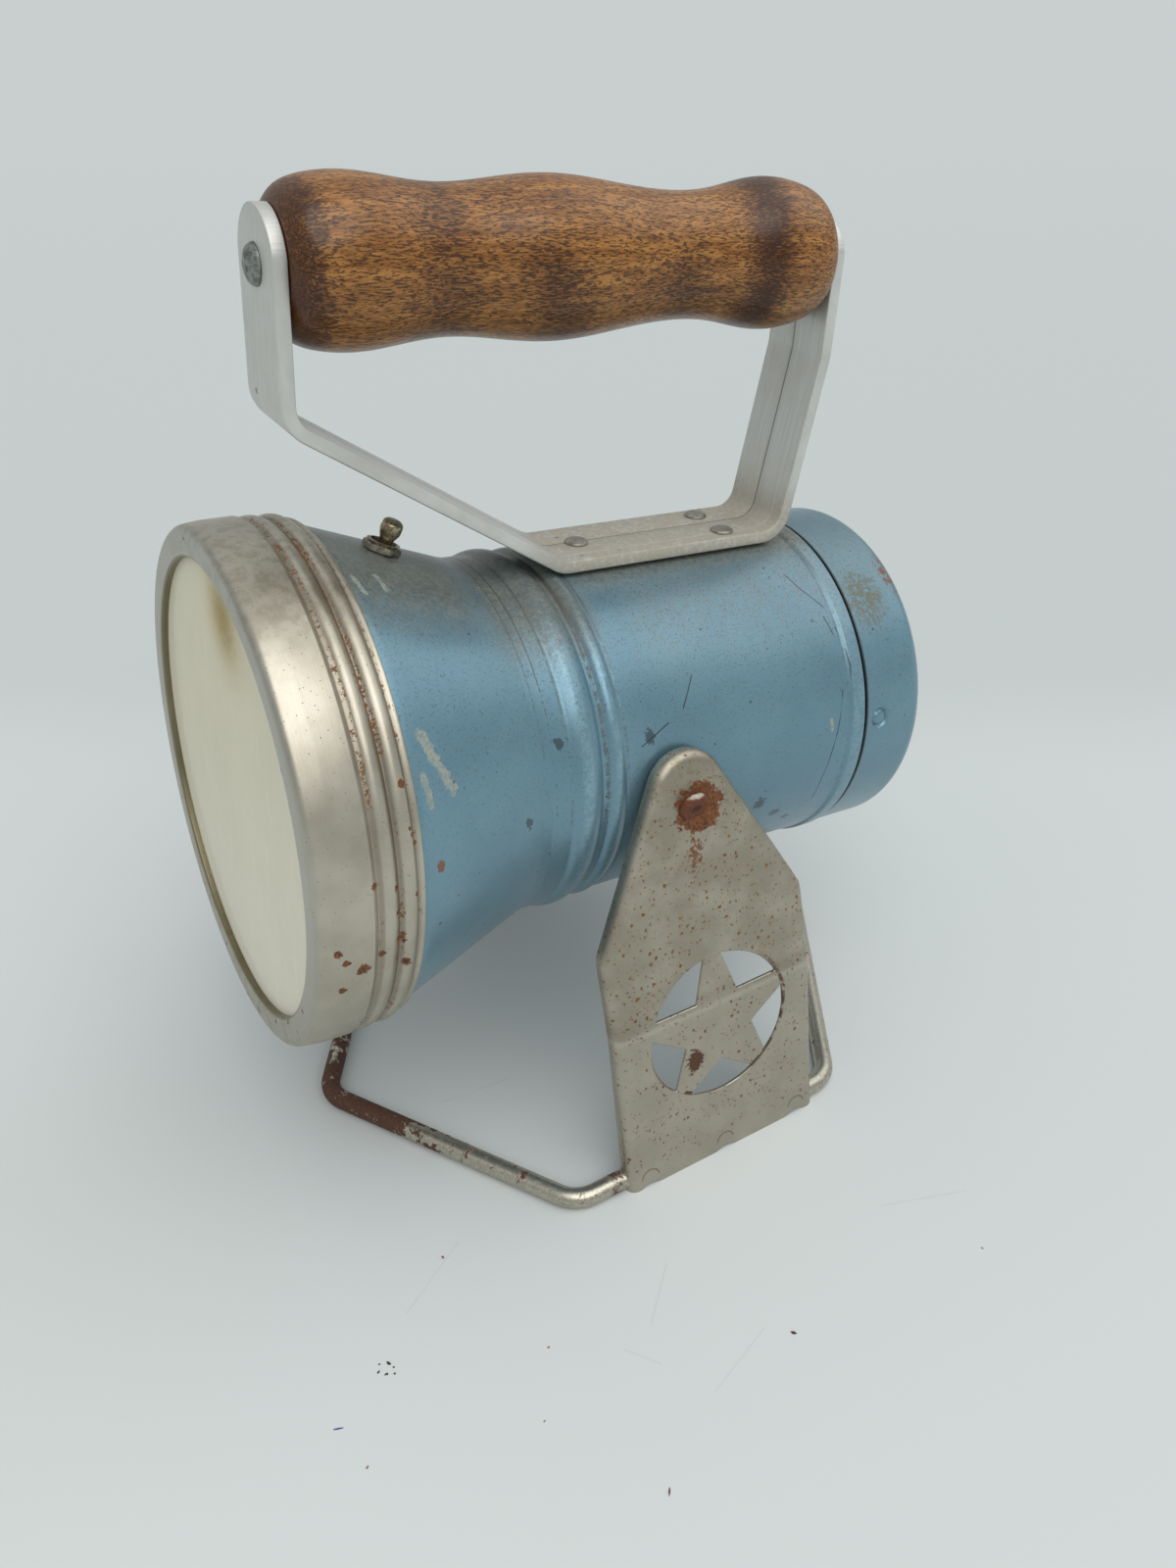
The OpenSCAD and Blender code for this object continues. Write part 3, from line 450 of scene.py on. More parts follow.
def rivet_metal():
    """Pivot rivet: rust over all but a rubbed bare upper edge, and painted shade in the hollow middle."""
    m = Mat("rusted_rivet")
    n = m.noise(0.9, 5, 0.72)
    fine = m.noise(2.8, 4, 0.7, seed=3.0)
    bare = (m.z + (n - 0.5) * 1.6).step(PIVOT_Z + 2.9, PIVOT_Z + 3.5) * (m.y + (n - 0.5) * 2).step(2.5, 1.5)
    # painted shade: a near-black spot in the hollow middle of the head
    hole = m.away((54, 0.0, PIVOT_Z - 0.3), (9, 1.5, 1.2)).step(1.2, 0.6) * 0.7
    color = m.over(m.mix(fine.step(0.35, 0.65), (0.075, 0.022, 0.010), (0.20, 0.060, 0.018)),
                   (hole, (0.022, 0.014, 0.012)),
                   (bare, (0.50, 0.46, 0.39)))
    m.bump(fine * 1.0 + n * 1.0, 0.9, 0.0002)
    return m.set(color=color, metal=bare * 0.9, rough=0.75 - bare * 0.35)


# Materials of the lens ring, the shell and the cap
RING_SPOTS = (((59.7, 2.9, -5.8), 1.1), ((58.9, 8.0, -11.6), 1.5), ((57.7, 4.1, -16.5), 1.0),
              ((59.6, 11.2, 8.0), 1.1), ((59.6, 16.2, -6.9), 1.5), ((58.6, 17.5, -14.0), 1.3),
              ((58.0, 16.3, -18.5), 1.2), ((54.0, 19.2, 26.2), 1.0), ((58.3, 12.2, -9.5), 0.9))


def ring_metal():
    """The lens ring's plate: satin band, rust in the grooves, pits and stains low down."""
    m = Mat("ring_plate", LAMP)
    fine = m.noise(2.2, 5, 0.65)
    cloud = m.noise(0.075, 3, 0.55, seed=2.0)
    around = m.noise(1.0, 3, 0.6, at=m.vec(m.z.atan2(m.x) * 9, m.y * 2.6, 0.0), seed=6.0)
    low = m.z.step(-18, -50)
    brown = (m.noise(0.33, 4, 0.7, seed=13.0) + low * 0.10).step(0.56, 0.66) * low
    top = m.z.step(40, 58) * m.noise(0.4, 4, 0.7, seed=17.0).step(0.42, 0.62)
    base = m.over(m.mix(cloud.step(0.35, 0.7), (0.425, 0.39, 0.315), (0.535, 0.50, 0.42)),
                  # painted reflection of the floor on the lip's front face
                  (m.y.step(0.3, -1.3) * 0.55, (0.42, 0.42, 0.38)),
                  # painted shade: the lower half of the ring darker
                  (m.z.step(0, -45) * 0.45, (0.33, 0.295, 0.225)),
                  (brown * 0.55, (0.30, 0.255, 0.17)),
                  (top * 0.5, (0.30, 0.27, 0.20)))
    # rust sits in the three grooves, most at the upper side and at the foot
    g1, g2, g3 = m.y.band(16.35, 0.75, 0.35), m.y.band(12.2, 0.6, 0.3), m.y.band(20.35, 0.55, 0.3)
    rag = m.noise(0.75, 4, 0.7, seed=21.0)
    slow = m.noise(0.11, 2, 0.5, seed=23.0)
    more = m.z.step(10, 36) * 0.11 + m.z.step(-38, -52) * 0.05
    broken = m.noise(1.6, 2, 0.6, seed=27.0).step(0.46, 0.54)
    grooves = greatest([g1 * (rag + slow * 0.5 + more).step(0.82, 0.90),
                        g2 * (rag + slow * 0.4 + more).step(0.78, 0.86) * 0.8,
                        g3 * (rag + slow * 0.4 + more).step(0.82, 0.90) * 0.8]) * broken
    d, pick, size = m.cells(0.42)
    spots = (size * 0.34 + 0.14 - d - (rag - 0.5) * 0.9).step(0.0, 0.08)
    spots = spots * (pick + low * 0.10 + m.y.step(8, 16) * 0.04).step(0.97, 0.985)
    d, pick, size = m.cells(1.5)
    pits = (0.20 - d).step(0.0, 0.08) * (pick + cloud * 0.4).step(0.98, 1.06)
    rag = (rag - 0.5) * 2.6
    large = greatest([m.patch(c, (w * 1.3, w, w * 1.2), rag, 0.95, 0.7) for c, w in RING_SPOTS])
    rust = grooves.max(spots).max(large)
    color = m.over(base, (g1.max(g2 * 0.8).max(g3 * 0.7) * 0.55, (0.17, 0.13, 0.09)),
                   (rust, rust_color(m)),
                   (grooves * 0.75, m.mix(fine.step(0.42, 0.6), (0.085, 0.036, 0.010), (0.30, 0.125, 0.020))),
                   (pits * 0.85, (0.10, 0.07, 0.05)),
                   (far(m.x, m.z).band(OPEN_R, 0.55, 0.2) * 0.75, (0.15, 0.125, 0.055)))
    m.bump(fine * 0.22 + around * 0.35 + rust * 0.7 - pits * 0.6, 0.5, 0.00013)
    return m.set(color=color, metal=rust.inv() * 0.93,
                 rough=fine * 0.14 + cloud * 0.14 + rust * 0.4 + around * 0.08 + 0.20)


# Marks on the shell: chips are (points, width), scuffs are (middle, size), scratches are points
CHIPS = [([(46.4, 26.2, 31.5), (48.1, 27.9, 27.5), (50.4, 31.5, 19.6)], 1.5),
         ([(50.7, 24.9, 25.2), (53.1, 25.9, 18.9)], 1.1), ([(14.6, 30.2, 52.6), (18.7, 30.9, 51.0)], 1.0),
         ([(16.8, 24.4, 54.4), (21.1, 25.3, 52.4)], 0.9), ([(43.5, 138.8, 8.4), (43.9, 139.3, 5.6)], 0.6),
         ([(-41, 94, 16), (-42, 99, 12)], 1.2), ([(-52, 33, 2), (-50, 36, -4)], 1.3),
         ([(-30, 120, -32), (-33, 124, -29)], 1.4), ([(2, 66, -45.6), (6, 66, -45)], 1.2)]
SCUFFS = [((40.6, 61.4, 18.4), (1.6, 1.5, 1.8)), ((46.6, 51.5, 3.7), (1.3, 1.2, 1.9)),
          ((42.6, 119.6, -11.9), (2.4, 2.4, 2.6)), ((40.6, 126.5, -17.4), (2.2, 2.2, 1.6)),
          ((38.8, 132.0, -21.3), (1.8, 1.8, 1.2)), ((41.6, 85.0, 15.0), (1.6, 1.6, 2.8)),
          ((-43, 110, 8), (2, 3, 3)), ((-36, 88, 26), (2, 2.5, 2)), ((36.5, 100, -24.6), (2, 2, 1.4))]
SCRATCHES = [[(20.3, 136.5, 39.3), (24.5, 138.4, 36.9), (29.4, 142.8, 33.0)],
             [(31.3, 141.8, 31.2), (33.6, 142.6, 28.8), (34.6, 142.9, 27.6)],
             [(33.6, 144.2, 28.8), (36.7, 145.0, 25.8), (39.9, 145.6, 20.4), (41.5, 145.1, 17.0)],
             [(41.6, 142.7, 15.1), (43.8, 141.3, 6.4), (44.25, 139.8, -1.6), (43.3, 138.7, -9.2),
              (41.2, 138.4, -16.2)],
             [(42.2, 82.6, 13.3), (40.8, 90.4, 17.0)], [(39.8, 95, 19.4), (36.2, 99, 25.4)],
             [(-40, 100, 19), (-43.6, 112, 7)], [(-36, 118, 25.6), (-33, 131, 29.5)],
             [(12, 120, -42.6), (27, 124, -35)]]
# dirt in the rolled lines: (y, half width, strength)
DIRT_LINES = ((59.7, 0.16, 0.9), (63.6, 0.35, 0.5), (73.4, 0.55, 0.85), (78.7, 0.3, 0.55), (57.2, 0.25, 0.4),
              (144.5, 0.3, 0.35))


def shell_wear(m, base, r, up, fine, grit, cloud, rag):
    """Beads and band lighter on top (painted highlight, partly rubbed paint), grime on cone and neck, dirty
    lines, painted shade in the gap to the cap, chips, scuffs and scratches.
    """
    lift = r - TUBE_R
    # painted highlight on the tops of the raised beads and band, broken up like rubbed paint
    wear_and_sheen = lift.step(0.95, 1.35) * m.y.band(67.7, 5, 1) * grit.step(0.35, 0.6)
    wear_and_sheen = wear_and_sheen.max(lift.step(0.38, 0.62) * m.y.band(76.4, 2.2, 0.4) * grit.step(0.4, 0.62) * 0.8)
    wear_and_sheen = wear_and_sheen.max(lift.step(0.40, 0.60) * m.y.band(147, 3, 0.5) * grit.step(0.35, 0.62) * 0.7)
    # grime on top of the cone and the neck, below the handle bar, and thinly along the tube
    on_cone = m.y.step(64, 46) * (up + rag * 0.35).step(0.80, 0.97)
    at_neck = m.y.band(66, 13, 5) * (up + rag * 0.4).step(0.66, 0.93)
    strap = m.y.step(74, 84) * (m.x.abs() + rag * 9).step(20, 9) * up.step(0.5, 0.75)
    dusty = m.y.step(80, 95) * (up + rag * 0.3).step(0.45, 0.92) * 0.38
    dirt = (on_cone * (grit * 0.7 + 0.45)).max(at_neck * (grit * 0.9 + 0.30)).max(strap * 0.8)
    dirt = dirt.max(dusty * grit.step(0.3, 0.6)).min(0.93)
    lines = greatest([m.y.band(y, w, w * 0.7) * (grit + cloud * 0.4 + up * 0.16).step(0.66, 0.84) * k
                      for y, w, k in DIRT_LINES])
    # painted shade: near black in the gap between the band and the cap
    gap_shade = (m.y - (BAND_END + 0.3)).abs().step(0.85, 0.55)
    tear = (m.noise(0.55, 5, 0.8, seed=19.0) - 0.5) * 3.4
    chips = greatest([(m.course(points) / width + tear).step(0.80, 0.68) for points, width in CHIPS])
    scuffs = greatest([m.patch(c, size, rag * 2.4, 0.82, 0.62) for c, size in SCUFFS])
    scratches = greatest([m.scratch(points, 0.20, rag * 0.22) for points in SCRATCHES])
    fleck = m.patch((55.6, 26.6, 5.6), (1.5, 1.3, 1.7), rag * 1.5, 0.9, 0.75)
    fleck = fleck.max(m.patch((53.6, 31.0, -4.0), (0.8, 0.7, 0.9), rag, 0.9, 0.75))
    # painted highlight on the raised beads and band
    color = m.over(base, (wear_and_sheen * 0.55, (0.30, 0.46, 0.55)),
                   (dirt, m.mix(grit.step(0.35, 0.65), (0.100, 0.092, 0.060), (0.215, 0.205, 0.16))),
                   (lines * 0.85, m.mix(fine.step(0.45, 0.6), (0.045, 0.045, 0.038), (0.10, 0.060, 0.030))),
                   (gap_shade * 0.93, (0.008, 0.008, 0.008)),
                   (scuffs * 0.72, (0.035, 0.05, 0.055)),
                   (scratches * 0.8, (0.035, 0.035, 0.035)),
                   (chips * 0.9, m.mix(grit.step(0.42, 0.58), (0.31, 0.325, 0.265), (0.21, 0.26, 0.255))),
                   (fleck * 0.9, RUST))
    return color, fleck.max(dirt * 0.75).max(chips).max(lines * 0.7)


def cap_wear(m, base, r, up, fine, grit, cloud, rag):
    """Grime on top, a stain and a rusty rim to the rear, and painted shade on the front edge by the gap."""
    top = (up + rag * 0.5).step(0.55, 0.95) * (m.x + rag * 14).step(-8, 10)
    stain = m.patch((29, 156.5, 33.5), (12, 8.5, 10), rag * 1.7, 1.05, 0.35)
    dirt = (top * 0.25).max(stain * (grit * 0.6 + fine * 0.4).step(0.41, 0.54) * 0.92)
    rusty = m.patch((24, 167, 36), (8, 2.6, 7), rag * 2.2, 0.95, 0.5) * grit.step(0.45, 0.55) * 0.95
    edge = m.y.band(CAP_Y + 0.2, 0.5, 0.3) * grit.step(0.4, 0.6) * 0.5
    color = m.over(base, (dirt, m.mix(grit.step(0.35, 0.65), (0.085, 0.078, 0.040), (0.15, 0.14, 0.075))),
                   (rusty, RUST),
                   (edge, (0.10, 0.09, 0.06)),
                   # painted shade: the front edge by the gap, near black
                   ((m.y - CAP_Y).step(0.6, 0.3) * 0.85, (0.012, 0.012, 0.012)))
    return color, dirt.max(rusty)


def enamel(name, wear):
    """Metallic blue enamel with the part's own wear, sandy specks and dark dots."""
    m = Mat(name, LAMP)
    r = far(m.x, m.z)
    up = m.z / r
    fine = m.noise(3.4, 4, 0.7)
    grit = m.noise(0.9, 5, 0.7, seed=4.0)
    cloud = m.noise(0.05, 3, 0.55, seed=6.0)
    rag = m.noise(0.9, 4, 0.7, seed=9.0) - 0.5
    flake = m.noise(7.0, 2, 0.5, seed=15.0)
    base = m.over(m.mix(cloud.step(0.3, 0.7), (0.138, 0.260, 0.333), (0.168, 0.302, 0.378)),
                  (flake.step(0.5, 0.8) * 0.30, (0.30, 0.43, 0.50)),
                  (fine.step(0.56, 0.78) * 0.25, (0.09, 0.15, 0.19)))
    color, rust = wear(m, base, r, up, fine, grit, cloud, rag)
    # sandy specks, more of them towards the top, and dark dots all over
    sand = (m.noise(2.3, 3, 0.75, seed=41.0) + up.step(-0.2, 1.0) * 0.05 + grit * 0.12).step(0.665, 0.70)
    d, pick, size = m.cells(0.34)
    dots = (size * 0.13 + 0.03 - d - rag * 0.08).step(0.0, 0.05) * pick.step(0.72, 0.76)
    color = m.over(color, (sand * 0.5, (0.060, 0.075, 0.075)), (dots * 0.75, (0.03, 0.045, 0.05)))
    waves = m.noise(1.0, 2, 0.5, at=m.stretched(0.05, 0.06, 0.05), seed=30.0)
    m.bump(fine * 0.10 + flake * 0.10 + rust * 0.25 + waves * 1.6 + grit * 0.10, 0.4, 0.00025)
    return m.set(color=color, metal=rust.inv() * 0.55, rough=fine * 0.08 + cloud * 0.10 + rust * 0.35 + 0.25,
                 coat=0.3, coat_rough=0.20)


# Materials of the handle
def wood():
    """Varnished turned wood: long dark pores, dark bands across and a red-brown tone."""
    m = Mat("varnished_wood", WOOD)
    slow = m.noise(0.045, 3, 0.55, seed=2.0)
    patch = m.noise(1.0, 3, 0.6, at=m.stretched(0.10, 0.045, 0.10), seed=5.0)
    grain = m.noise(1.0, 4, 0.62, at=m.stretched(0.7, 0.05, 0.7), seed=7.0, warp=0.3)
    pores = m.noise(1.0, 3, 0.65, at=m.stretched(3.0, 0.55, 3.0), seed=9.0, warp=0.4)
    fibre = m.noise(1.0, 2, 0.5, at=m.stretched(3.2, 0.5, 3.2), seed=12.0)
    y = m.y + ((slow - 0.5) * 20 + (grain - 0.5) * 6)
    lower = (m.z * -1 + m.x * 0.3).step(-10, 8)
    dark = greatest([y.step(-56, -63) * 0.62, y.band(-35, 5, 6) * 0.42,
                     (y + m.z * 0.5).band(-14, 8, 6) * (lower * 0.32 + 0.18), y.band(23, 5, 6) * lower * 0.42,
                     y.band(44, 5, 5) * 0.78, y.step(60, 65) * 0.35])
    dark = (dark + (patch - 0.5) * 0.9 + (grain - 0.5) * 0.35).max(0.0).min(1.0)
    gold = m.mix(grain.step(0.35, 0.65), (0.215, 0.080, 0.015), (0.42, 0.190, 0.048))
    deep = m.mix(grain.step(0.35, 0.65), (0.050, 0.015, 0.003), (0.120, 0.038, 0.008))
    streak = (pores + dark * 0.08).step(0.495, 0.56) * (dark * 0.15 + 0.80)
    color = m.over(gold, (dark.step(0.02, 0.92), deep),
                   (streak, (0.030, 0.009, 0.003)),
                   (fibre.step(0.55, 0.72) * 0.30 * streak.inv(), (0.46, 0.23, 0.075)),
                   (y.step(-62, -65.5) * 0.4, (0.060, 0.017, 0.006)))
    m.bump(pores * -0.5 + fibre * 0.2 + grain * 0.25, 0.35, 0.00018)
    return m.set(color=color, rough=grain * 0.14 + pores * 0.10 + 0.30, spec=0.2, coat=0.42, coat_rough=0.2)


def bar_metal():
    """Flat drawn aluminium: fine lines along it, a dull film of dirt at the foot, nicks."""
    m = Mat("bar_aluminium", LAMP)
    lines = m.noise(1.0, 3, 0.6, at=m.stretched(5.5, 0.05, 0.05))
    fine = m.noise(1.9, 4, 0.65, seed=3.0)
    cloud = m.noise(0.10, 3, 0.6, seed=6.0)
    grit = m.noise(0.75, 5, 0.7, seed=8.0)
    film = m.z.step(62, 48) * m.y.step(66, 82) * (grit + 0.16).step(0.42, 0.72) * 0.68
    bend = m.patch((0, 142, 48), (16, 9, 9), grit - 0.5, 1.2, 0.4) * 0.5
    dirt = film.max(bend).max(grit.step(0.58, 0.72) * 0.22)
    # scribed lines along the bar, on the side that faces the grip
    front = m.y.step(15.0, 16.0) * m.y.step(149.7, 149.2) * (m.y - m.z * 0.162).step(135.0, 134.2)
    scribe = (m.x + 0.8).abs().step(0.34, 0.16) * front
    glint = (m.x - 6.8).abs().step(0.5, 0.1) * 0.22 * front
    d, pick, size = m.cells(0.22)
    nick = (size * 0.15 + 0.05 - d - (grit - 0.5) * 0.25).step(0.0, 0.05) * pick.step(0.70, 0.74)
    rise = m.patch((3.5, 149.5, 78.5), (2.2, 4, 1.6), (grit - 0.5) * 1.6, 1.0, 0.7)
    color = m.over(m.mix(lines.step(0.3, 0.7), (0.54, 0.54, 0.51), (0.69, 0.695, 0.67)),
                   (cloud.step(0.4, 0.7) * 0.4, (0.53, 0.515, 0.46)),
                   (dirt, (0.33, 0.285, 0.20)),
                   (scribe * m.x.abs().step(9.6, 9.2) * 0.65, (0.13, 0.12, 0.10)),
                   (glint, (0.72, 0.73, 0.72)),
                   (nick * 0.65, (0.12, 0.11, 0.09)),
                   (rise * 0.7, (0.10, 0.09, 0.07)))
    m.bump(lines * 0.35 + fine * 0.2 - nick * 0.8 + dirt * 0.3, 0.45, 0.0001)
    return m.set(color=color, metal=dirt.inv() * 0.62, rough=lines * 0.16 + fine * 0.12 + dirt * 0.3 + 0.30)


def small_metal(name, light, dark, rough, rust, place=LAMP):
    """Plain metal for small pieces, rusted here and there."""
    m = Mat(name, place)
    n = m.noise(0.8, 5, 0.7)
    fine = m.noise(2.4, 4, 0.6, seed=3.0)
    mask = (n * 0.5 + fine * 0.5).step(0.62 - rust * 0.3, 0.70 - rust * 0.3)
    color = m.over(m.mix(n.step(0.35, 0.65), dark, light), (mask * 0.9, rust_color(m)))
    m.bump(fine * 0.6 + n * 0.5, 0.5, 0.00012)
    return m.set(color=color, metal=mask.inv() * 0.9, rough=fine * 0.2 + mask * 0.35 + rough - 0.1)


# Materials behind the lens
def dish_metal():
    """The reflector's satin cream coating."""
    m = Mat("reflector_satin", LAMP)
    n = m.noise(0.12, 3, 0.55)
    stain = m.noise(0.06, 4, 0.6, seed=8.0).step(0.52, 0.68) * far(m.x, m.z).step(40, 12)
    color = m.over(m.mix(n.step(0.35, 0.65), (0.90, 0.87, 0.74), (0.96, 0.94, 0.82)),
                   (stain * 0.35, (0.45, 0.38, 0.22)))
    fine = m.noise(1.3, 4, 0.6, seed=3.0)
    m.bump(fine * 0.3, 0.3, 0.00015)
    return m.set(color=color, metal=0.12, rough=fine * 0.12 + 0.46)


def clear_glass(name, tint, rough):
    """Glass that is clear from the front and a mirror from the side: material, shader and output node."""
    m = Mat(name, LAMP)
    m.nodes.remove(m.p)
    out = next(n for n in m.nodes if n.type == "OUTPUT_MATERIAL")
    parts = (m.node("Fresnel", {"IOR": 1.45}), m.node("BsdfTransparent", {"Color": tint}),
             m.node("BsdfGlossy", {"Roughness": rough}))
    shader = m.node("MixShader", {i: part.outputs[0] for i, part in enumerate(parts)}).outputs[0]
    m.put(out, "Surface", shader)
    return m, shader, out


def lens_glass():
    """The lens: clear glass under a diffuse cream layer, partly a haze of dirt and partly a painted
    reflection of the reflector, lighter towards the lower left, with a brown film of dirt and a few fine
    scratches.
    """
    m, clear, out = clear_glass("lens_glass", (0.97, 0.975, 0.955), 0.03)
    rag = m.noise(0.8, 4, 0.7, seed=2.0) - 0.5
    haze = m.noise(0.05, 3, 0.55, seed=5.0)
    film = m.patch((5, 0, 44), (17, 90, 17), rag * 0.5, 1.25, 0.0) * 0.5
    streak = m.noise(1.0, 3, 0.6, at=m.vec(m.x * 0.5, 0.0, m.z * 0.06), seed=9.0).step(0.55, 0.75) * 0.06
    marks = greatest([m.scratch(points, width, rag * 0.1) for points, width in (
        ([(-19.5, 0, 33.5), (-14.9, 0, 30.5)], 0.13), ([(14, 0, -31.5), (16.5, 0, -34)], 0.12),
        ([(4, 0, -30), (6, 0, -33)], 0.1))])
    # painted reflection of the cream reflector, lighter towards the lower left
    cream = m.mix((m.z - m.x * 0.5).step(30, -40), (0.94, 0.885, 0.70), (1.0, 0.955, 0.80))
    color = m.over(cream, (film * 2.0, (0.42, 0.34, 0.18)), (marks, (0.10, 0.09, 0.07)))
    dirt = m.node("BsdfDiffuse", {"Color": color})
    # the diffuse layer is at least 0.6 of the look: painted reflection of the reflector over a haze of dirt
    amount = (haze * 0.12 + 0.60 + film + streak).max(marks * 0.8)
    m.put(out, "Surface", m.node("MixShader", {0: amount, 1: clear, 2: dirt.outputs[0]}).outputs[0])
    return m.mat


MAT = {
    "nickel": plate_metal(), "wire": wire_metal(), "ring_plate": ring_metal(),
    "enamel": enamel("blue_enamel", shell_wear), "cap": enamel("blue_enamel_cap", cap_wear),
    "wood": wood(), "bar_alu": bar_metal(), "rivet_steel": rivet_metal(),
    "rivet_alu": small_metal("rivet_aluminium", (0.40, 0.385, 0.34), (0.27, 0.25, 0.21), 0.42, 0.0),
    "bolt": small_metal("bolt_steel", (0.33, 0.35, 0.33), (0.13, 0.135, 0.12), 0.42, 0.05, GRIP),
    "toggle": small_metal("toggle_plate", (0.56, 0.50, 0.38), (0.22, 0.15, 0.07), 0.28, 0.12),
    "nut": small_metal("switch_nut_plate", (0.42, 0.39, 0.32), (0.17, 0.145, 0.10), 0.4, 0.12),
    "reflector": dish_metal(), "glass": lens_glass(),
    "bulb": clear_glass("bulb_glass", (0.96, 0.96, 0.96), 0.02)[0].mat,
    "brass": plain("brass", (0.62, 0.44, 0.20), 0.9, 0.36),
    "rubber": plain("rubber", (0.035, 0.035, 0.033), 0, 0.7),
    "spring": plain("spring_steel", (0.55, 0.55, 0.54), 0.95, 0.28),
    "board": plain("board", (0.20, 0.095, 0.04), 0, 0.6),
    "black": plain("black_plastic", (0.028, 0.028, 0.03), 0, 0.42),
    "battery": plain("battery_jacket", (0.035, 0.12, 0.065), 0, 0.35),
    "paper": plain("paper_liner", (0.50, 0.38, 0.22), 0, 0.85),
}


# Lens ring
THREAD_R, BORE_R = 57.2, 59.2


def ring_line():
    """Section of the ring, from the lip inwards over the band and both beads to the thread."""
    w = RING_W
    line = [(OPEN_R, 0.3, 0), (OPEN_R, -1.05, 0.5), (OPEN_R + 1.2, -1.45, 1.2), (RING_R - 0.35, -1.45, 2.1),
            (RING_R + 0.22, 4.0, 8), (RING_R + 0.33, w * 0.475, 0.35), (RING_R - 0.72, w * 0.525, 0.45)]
    line += bead(w * 0.555, w * 0.165, RING_R - 0.85, 0.95)
    line += [(RING_R - 1.15, w * 0.74, 0.3)]
    line += bead(w * 0.755, w * 0.165, RING_R - 1.0, 0.9)
    line += [(RING_R - 1.6, w * 0.93, 0.3), (RING_R - 1.25, w * 0.965, 0.5), (RING_R - 1.2, w, 0.35),
             (THREAD_R + 0.4, w, 0.2), (THREAD_R, w - 0.4, 0), (THREAD_R, w * 0.54, 0), (BORE_R, w * 0.49, 0),
             (BORE_R, 0.3, 0)]
    return split_long(rounded(line, step=14), 3.0)


def ring_move(a, r, y):
    """A slight unevenness of the outer face."""
    if r < 58:
        return r, y
    return r + 0.06 * noise.noise(Vector((4 * cos(a), 4 * sin(a), y * 0.2))), y


make("lens_ring", turned(ring_line(), 256, ring_move), "ring_plate", "ring", ["lens_ring"])


# Shell and cap
def shell_line():
    """Section of the shell, from the neck along the outside to the collar and back inside."""
    r, inner = TUBE_R, TUBE_R - WALL
    line = [(NECK_R, NECK_Y, 0), (NECK_R, CONE_Y, 3), (r + 1.0, WAIST_Y - 1.2, 6),
            (r + 0.35, WAIST_Y + 1.5, 4), (r + 0.25, 63.8, 0.6)]
    line += bead(63.8, 7.8, r, 1.3, 16)
    line += [(r - 0.1, 71.6, 0.3), (r - 0.55, 72.2, 0.3), (r - 0.55, 73.9, 0.3)]
    line += bead(74.2, 3.8, r - 0.2, 0.85)
    line += [(r - 0.1, 78.3, 0.3), (r, TUBE_Y, 0.4), (r, BAND_Y, 0.5), (r + 0.6, BAND_Y + 1.1, 0.6),
             (r + 0.6, BAND_END - 0.3, 0.6), (r - 0.5, BAND_END, 0.2), (COLLAR_R, BAND_END, 0),
             (COLLAR_R, COLLAR_END, 0.2), (COLLAR_IN, COLLAR_END, 0.2), (COLLAR_IN, BAND_END - 0.6, 0),
             (inner, BAND_END - 1.8, 0), (inner, TUBE_Y, 0), (inner - 0.5, 73.0, 0), (inner, 67.7, 0),
             (inner, WAIST_Y + 1.4, 0), (inner + 0.35, WAIST_Y, 0), (NECK_R - WALL, CONE_Y, 0),
             (NECK_R - WALL, NECK_Y, 0)]
    return split_long(rounded(line), 2.6)


def shell_move(a, r, y):
    """A slight unevenness of the plain tube."""
    if 84 < y < 142:
        r += 0.07 * noise.noise(Vector((2.2 * cos(a), 2.2 * sin(a), y * 0.05))) - 0.05
    return r, y


make("lamp_shell", turned(shell_line(), 288, shell_move), "enamel", "lamp", ["lamp_shell"])


PIP_Y, PIP_TURNS = 155.2, (radians(7.2), radians(187.2))


def cap_piece(p, q):
    """Short pieces on the outside, where the pips are, and one piece along the axis."""
    if p[0] == 0 and q[0] == 0:
        return inf
    return 0.35 if p[0] > CAP_R - 0.1 and q[0] > CAP_R - 0.1 else 4.0


def cap_move(a, r, y):
    """Two round pips pressed in, opposite each other: a ring-shaped dent with a flat middle."""
    if r < CAP_R - 1.2 or y > 162:
        return r, y
    for c in PIP_TURNS:
        d = hypot(((a - c + pi) % (2 * pi) - pi) * CAP_R, y - PIP_Y)
        if d < 3.6:
            r -= 0.85 * exp(-((d - 2.25) / 0.42) ** 2) + (0.15 if d < 2.0 else 0)
    return r, y


cap_line = rounded([(CAP_IN, CAP_Y, 0), (CAP_R, CAP_Y, 0.4), (CAP_R, CAP_END, 4.4), (0, CAP_END, 0),
                    (0, CAP_END - CAP_T, 0), (CAP_IN, CAP_END - CAP_T, 3.5)], step=10)
make("rear_cap", turned(split_long(cap_line, cap_piece), 640, cap_move), "cap", "cap", ["rear_cap"])


# Handle bar
BAR_R = STRAP_W / 2 + 0.3
FRONT_Y, REAR_Y, BAR_Z = 15.3, 148.764, TUBE_R + STRAP_T / 2
FRONT_BOLT = GRIP_H + (GRIP_MID - FRONT_Y) * sin(GRIP_LEAN)
REAR_BOLT = GRIP_H - (REAR_Y - GRIP_MID) * sin(GRIP_LEAN)
BAR_CORNERS = [(FRONT_Y, FRONT_BOLT, 0), (FRONT_Y, 84.0407, 7), (78.0, BAR_Z, 7), (141.6, BAR_Z, 6.5),
               (REAR_Y, 90, 10), (REAR_Y, REAR_BOLT, 0)]


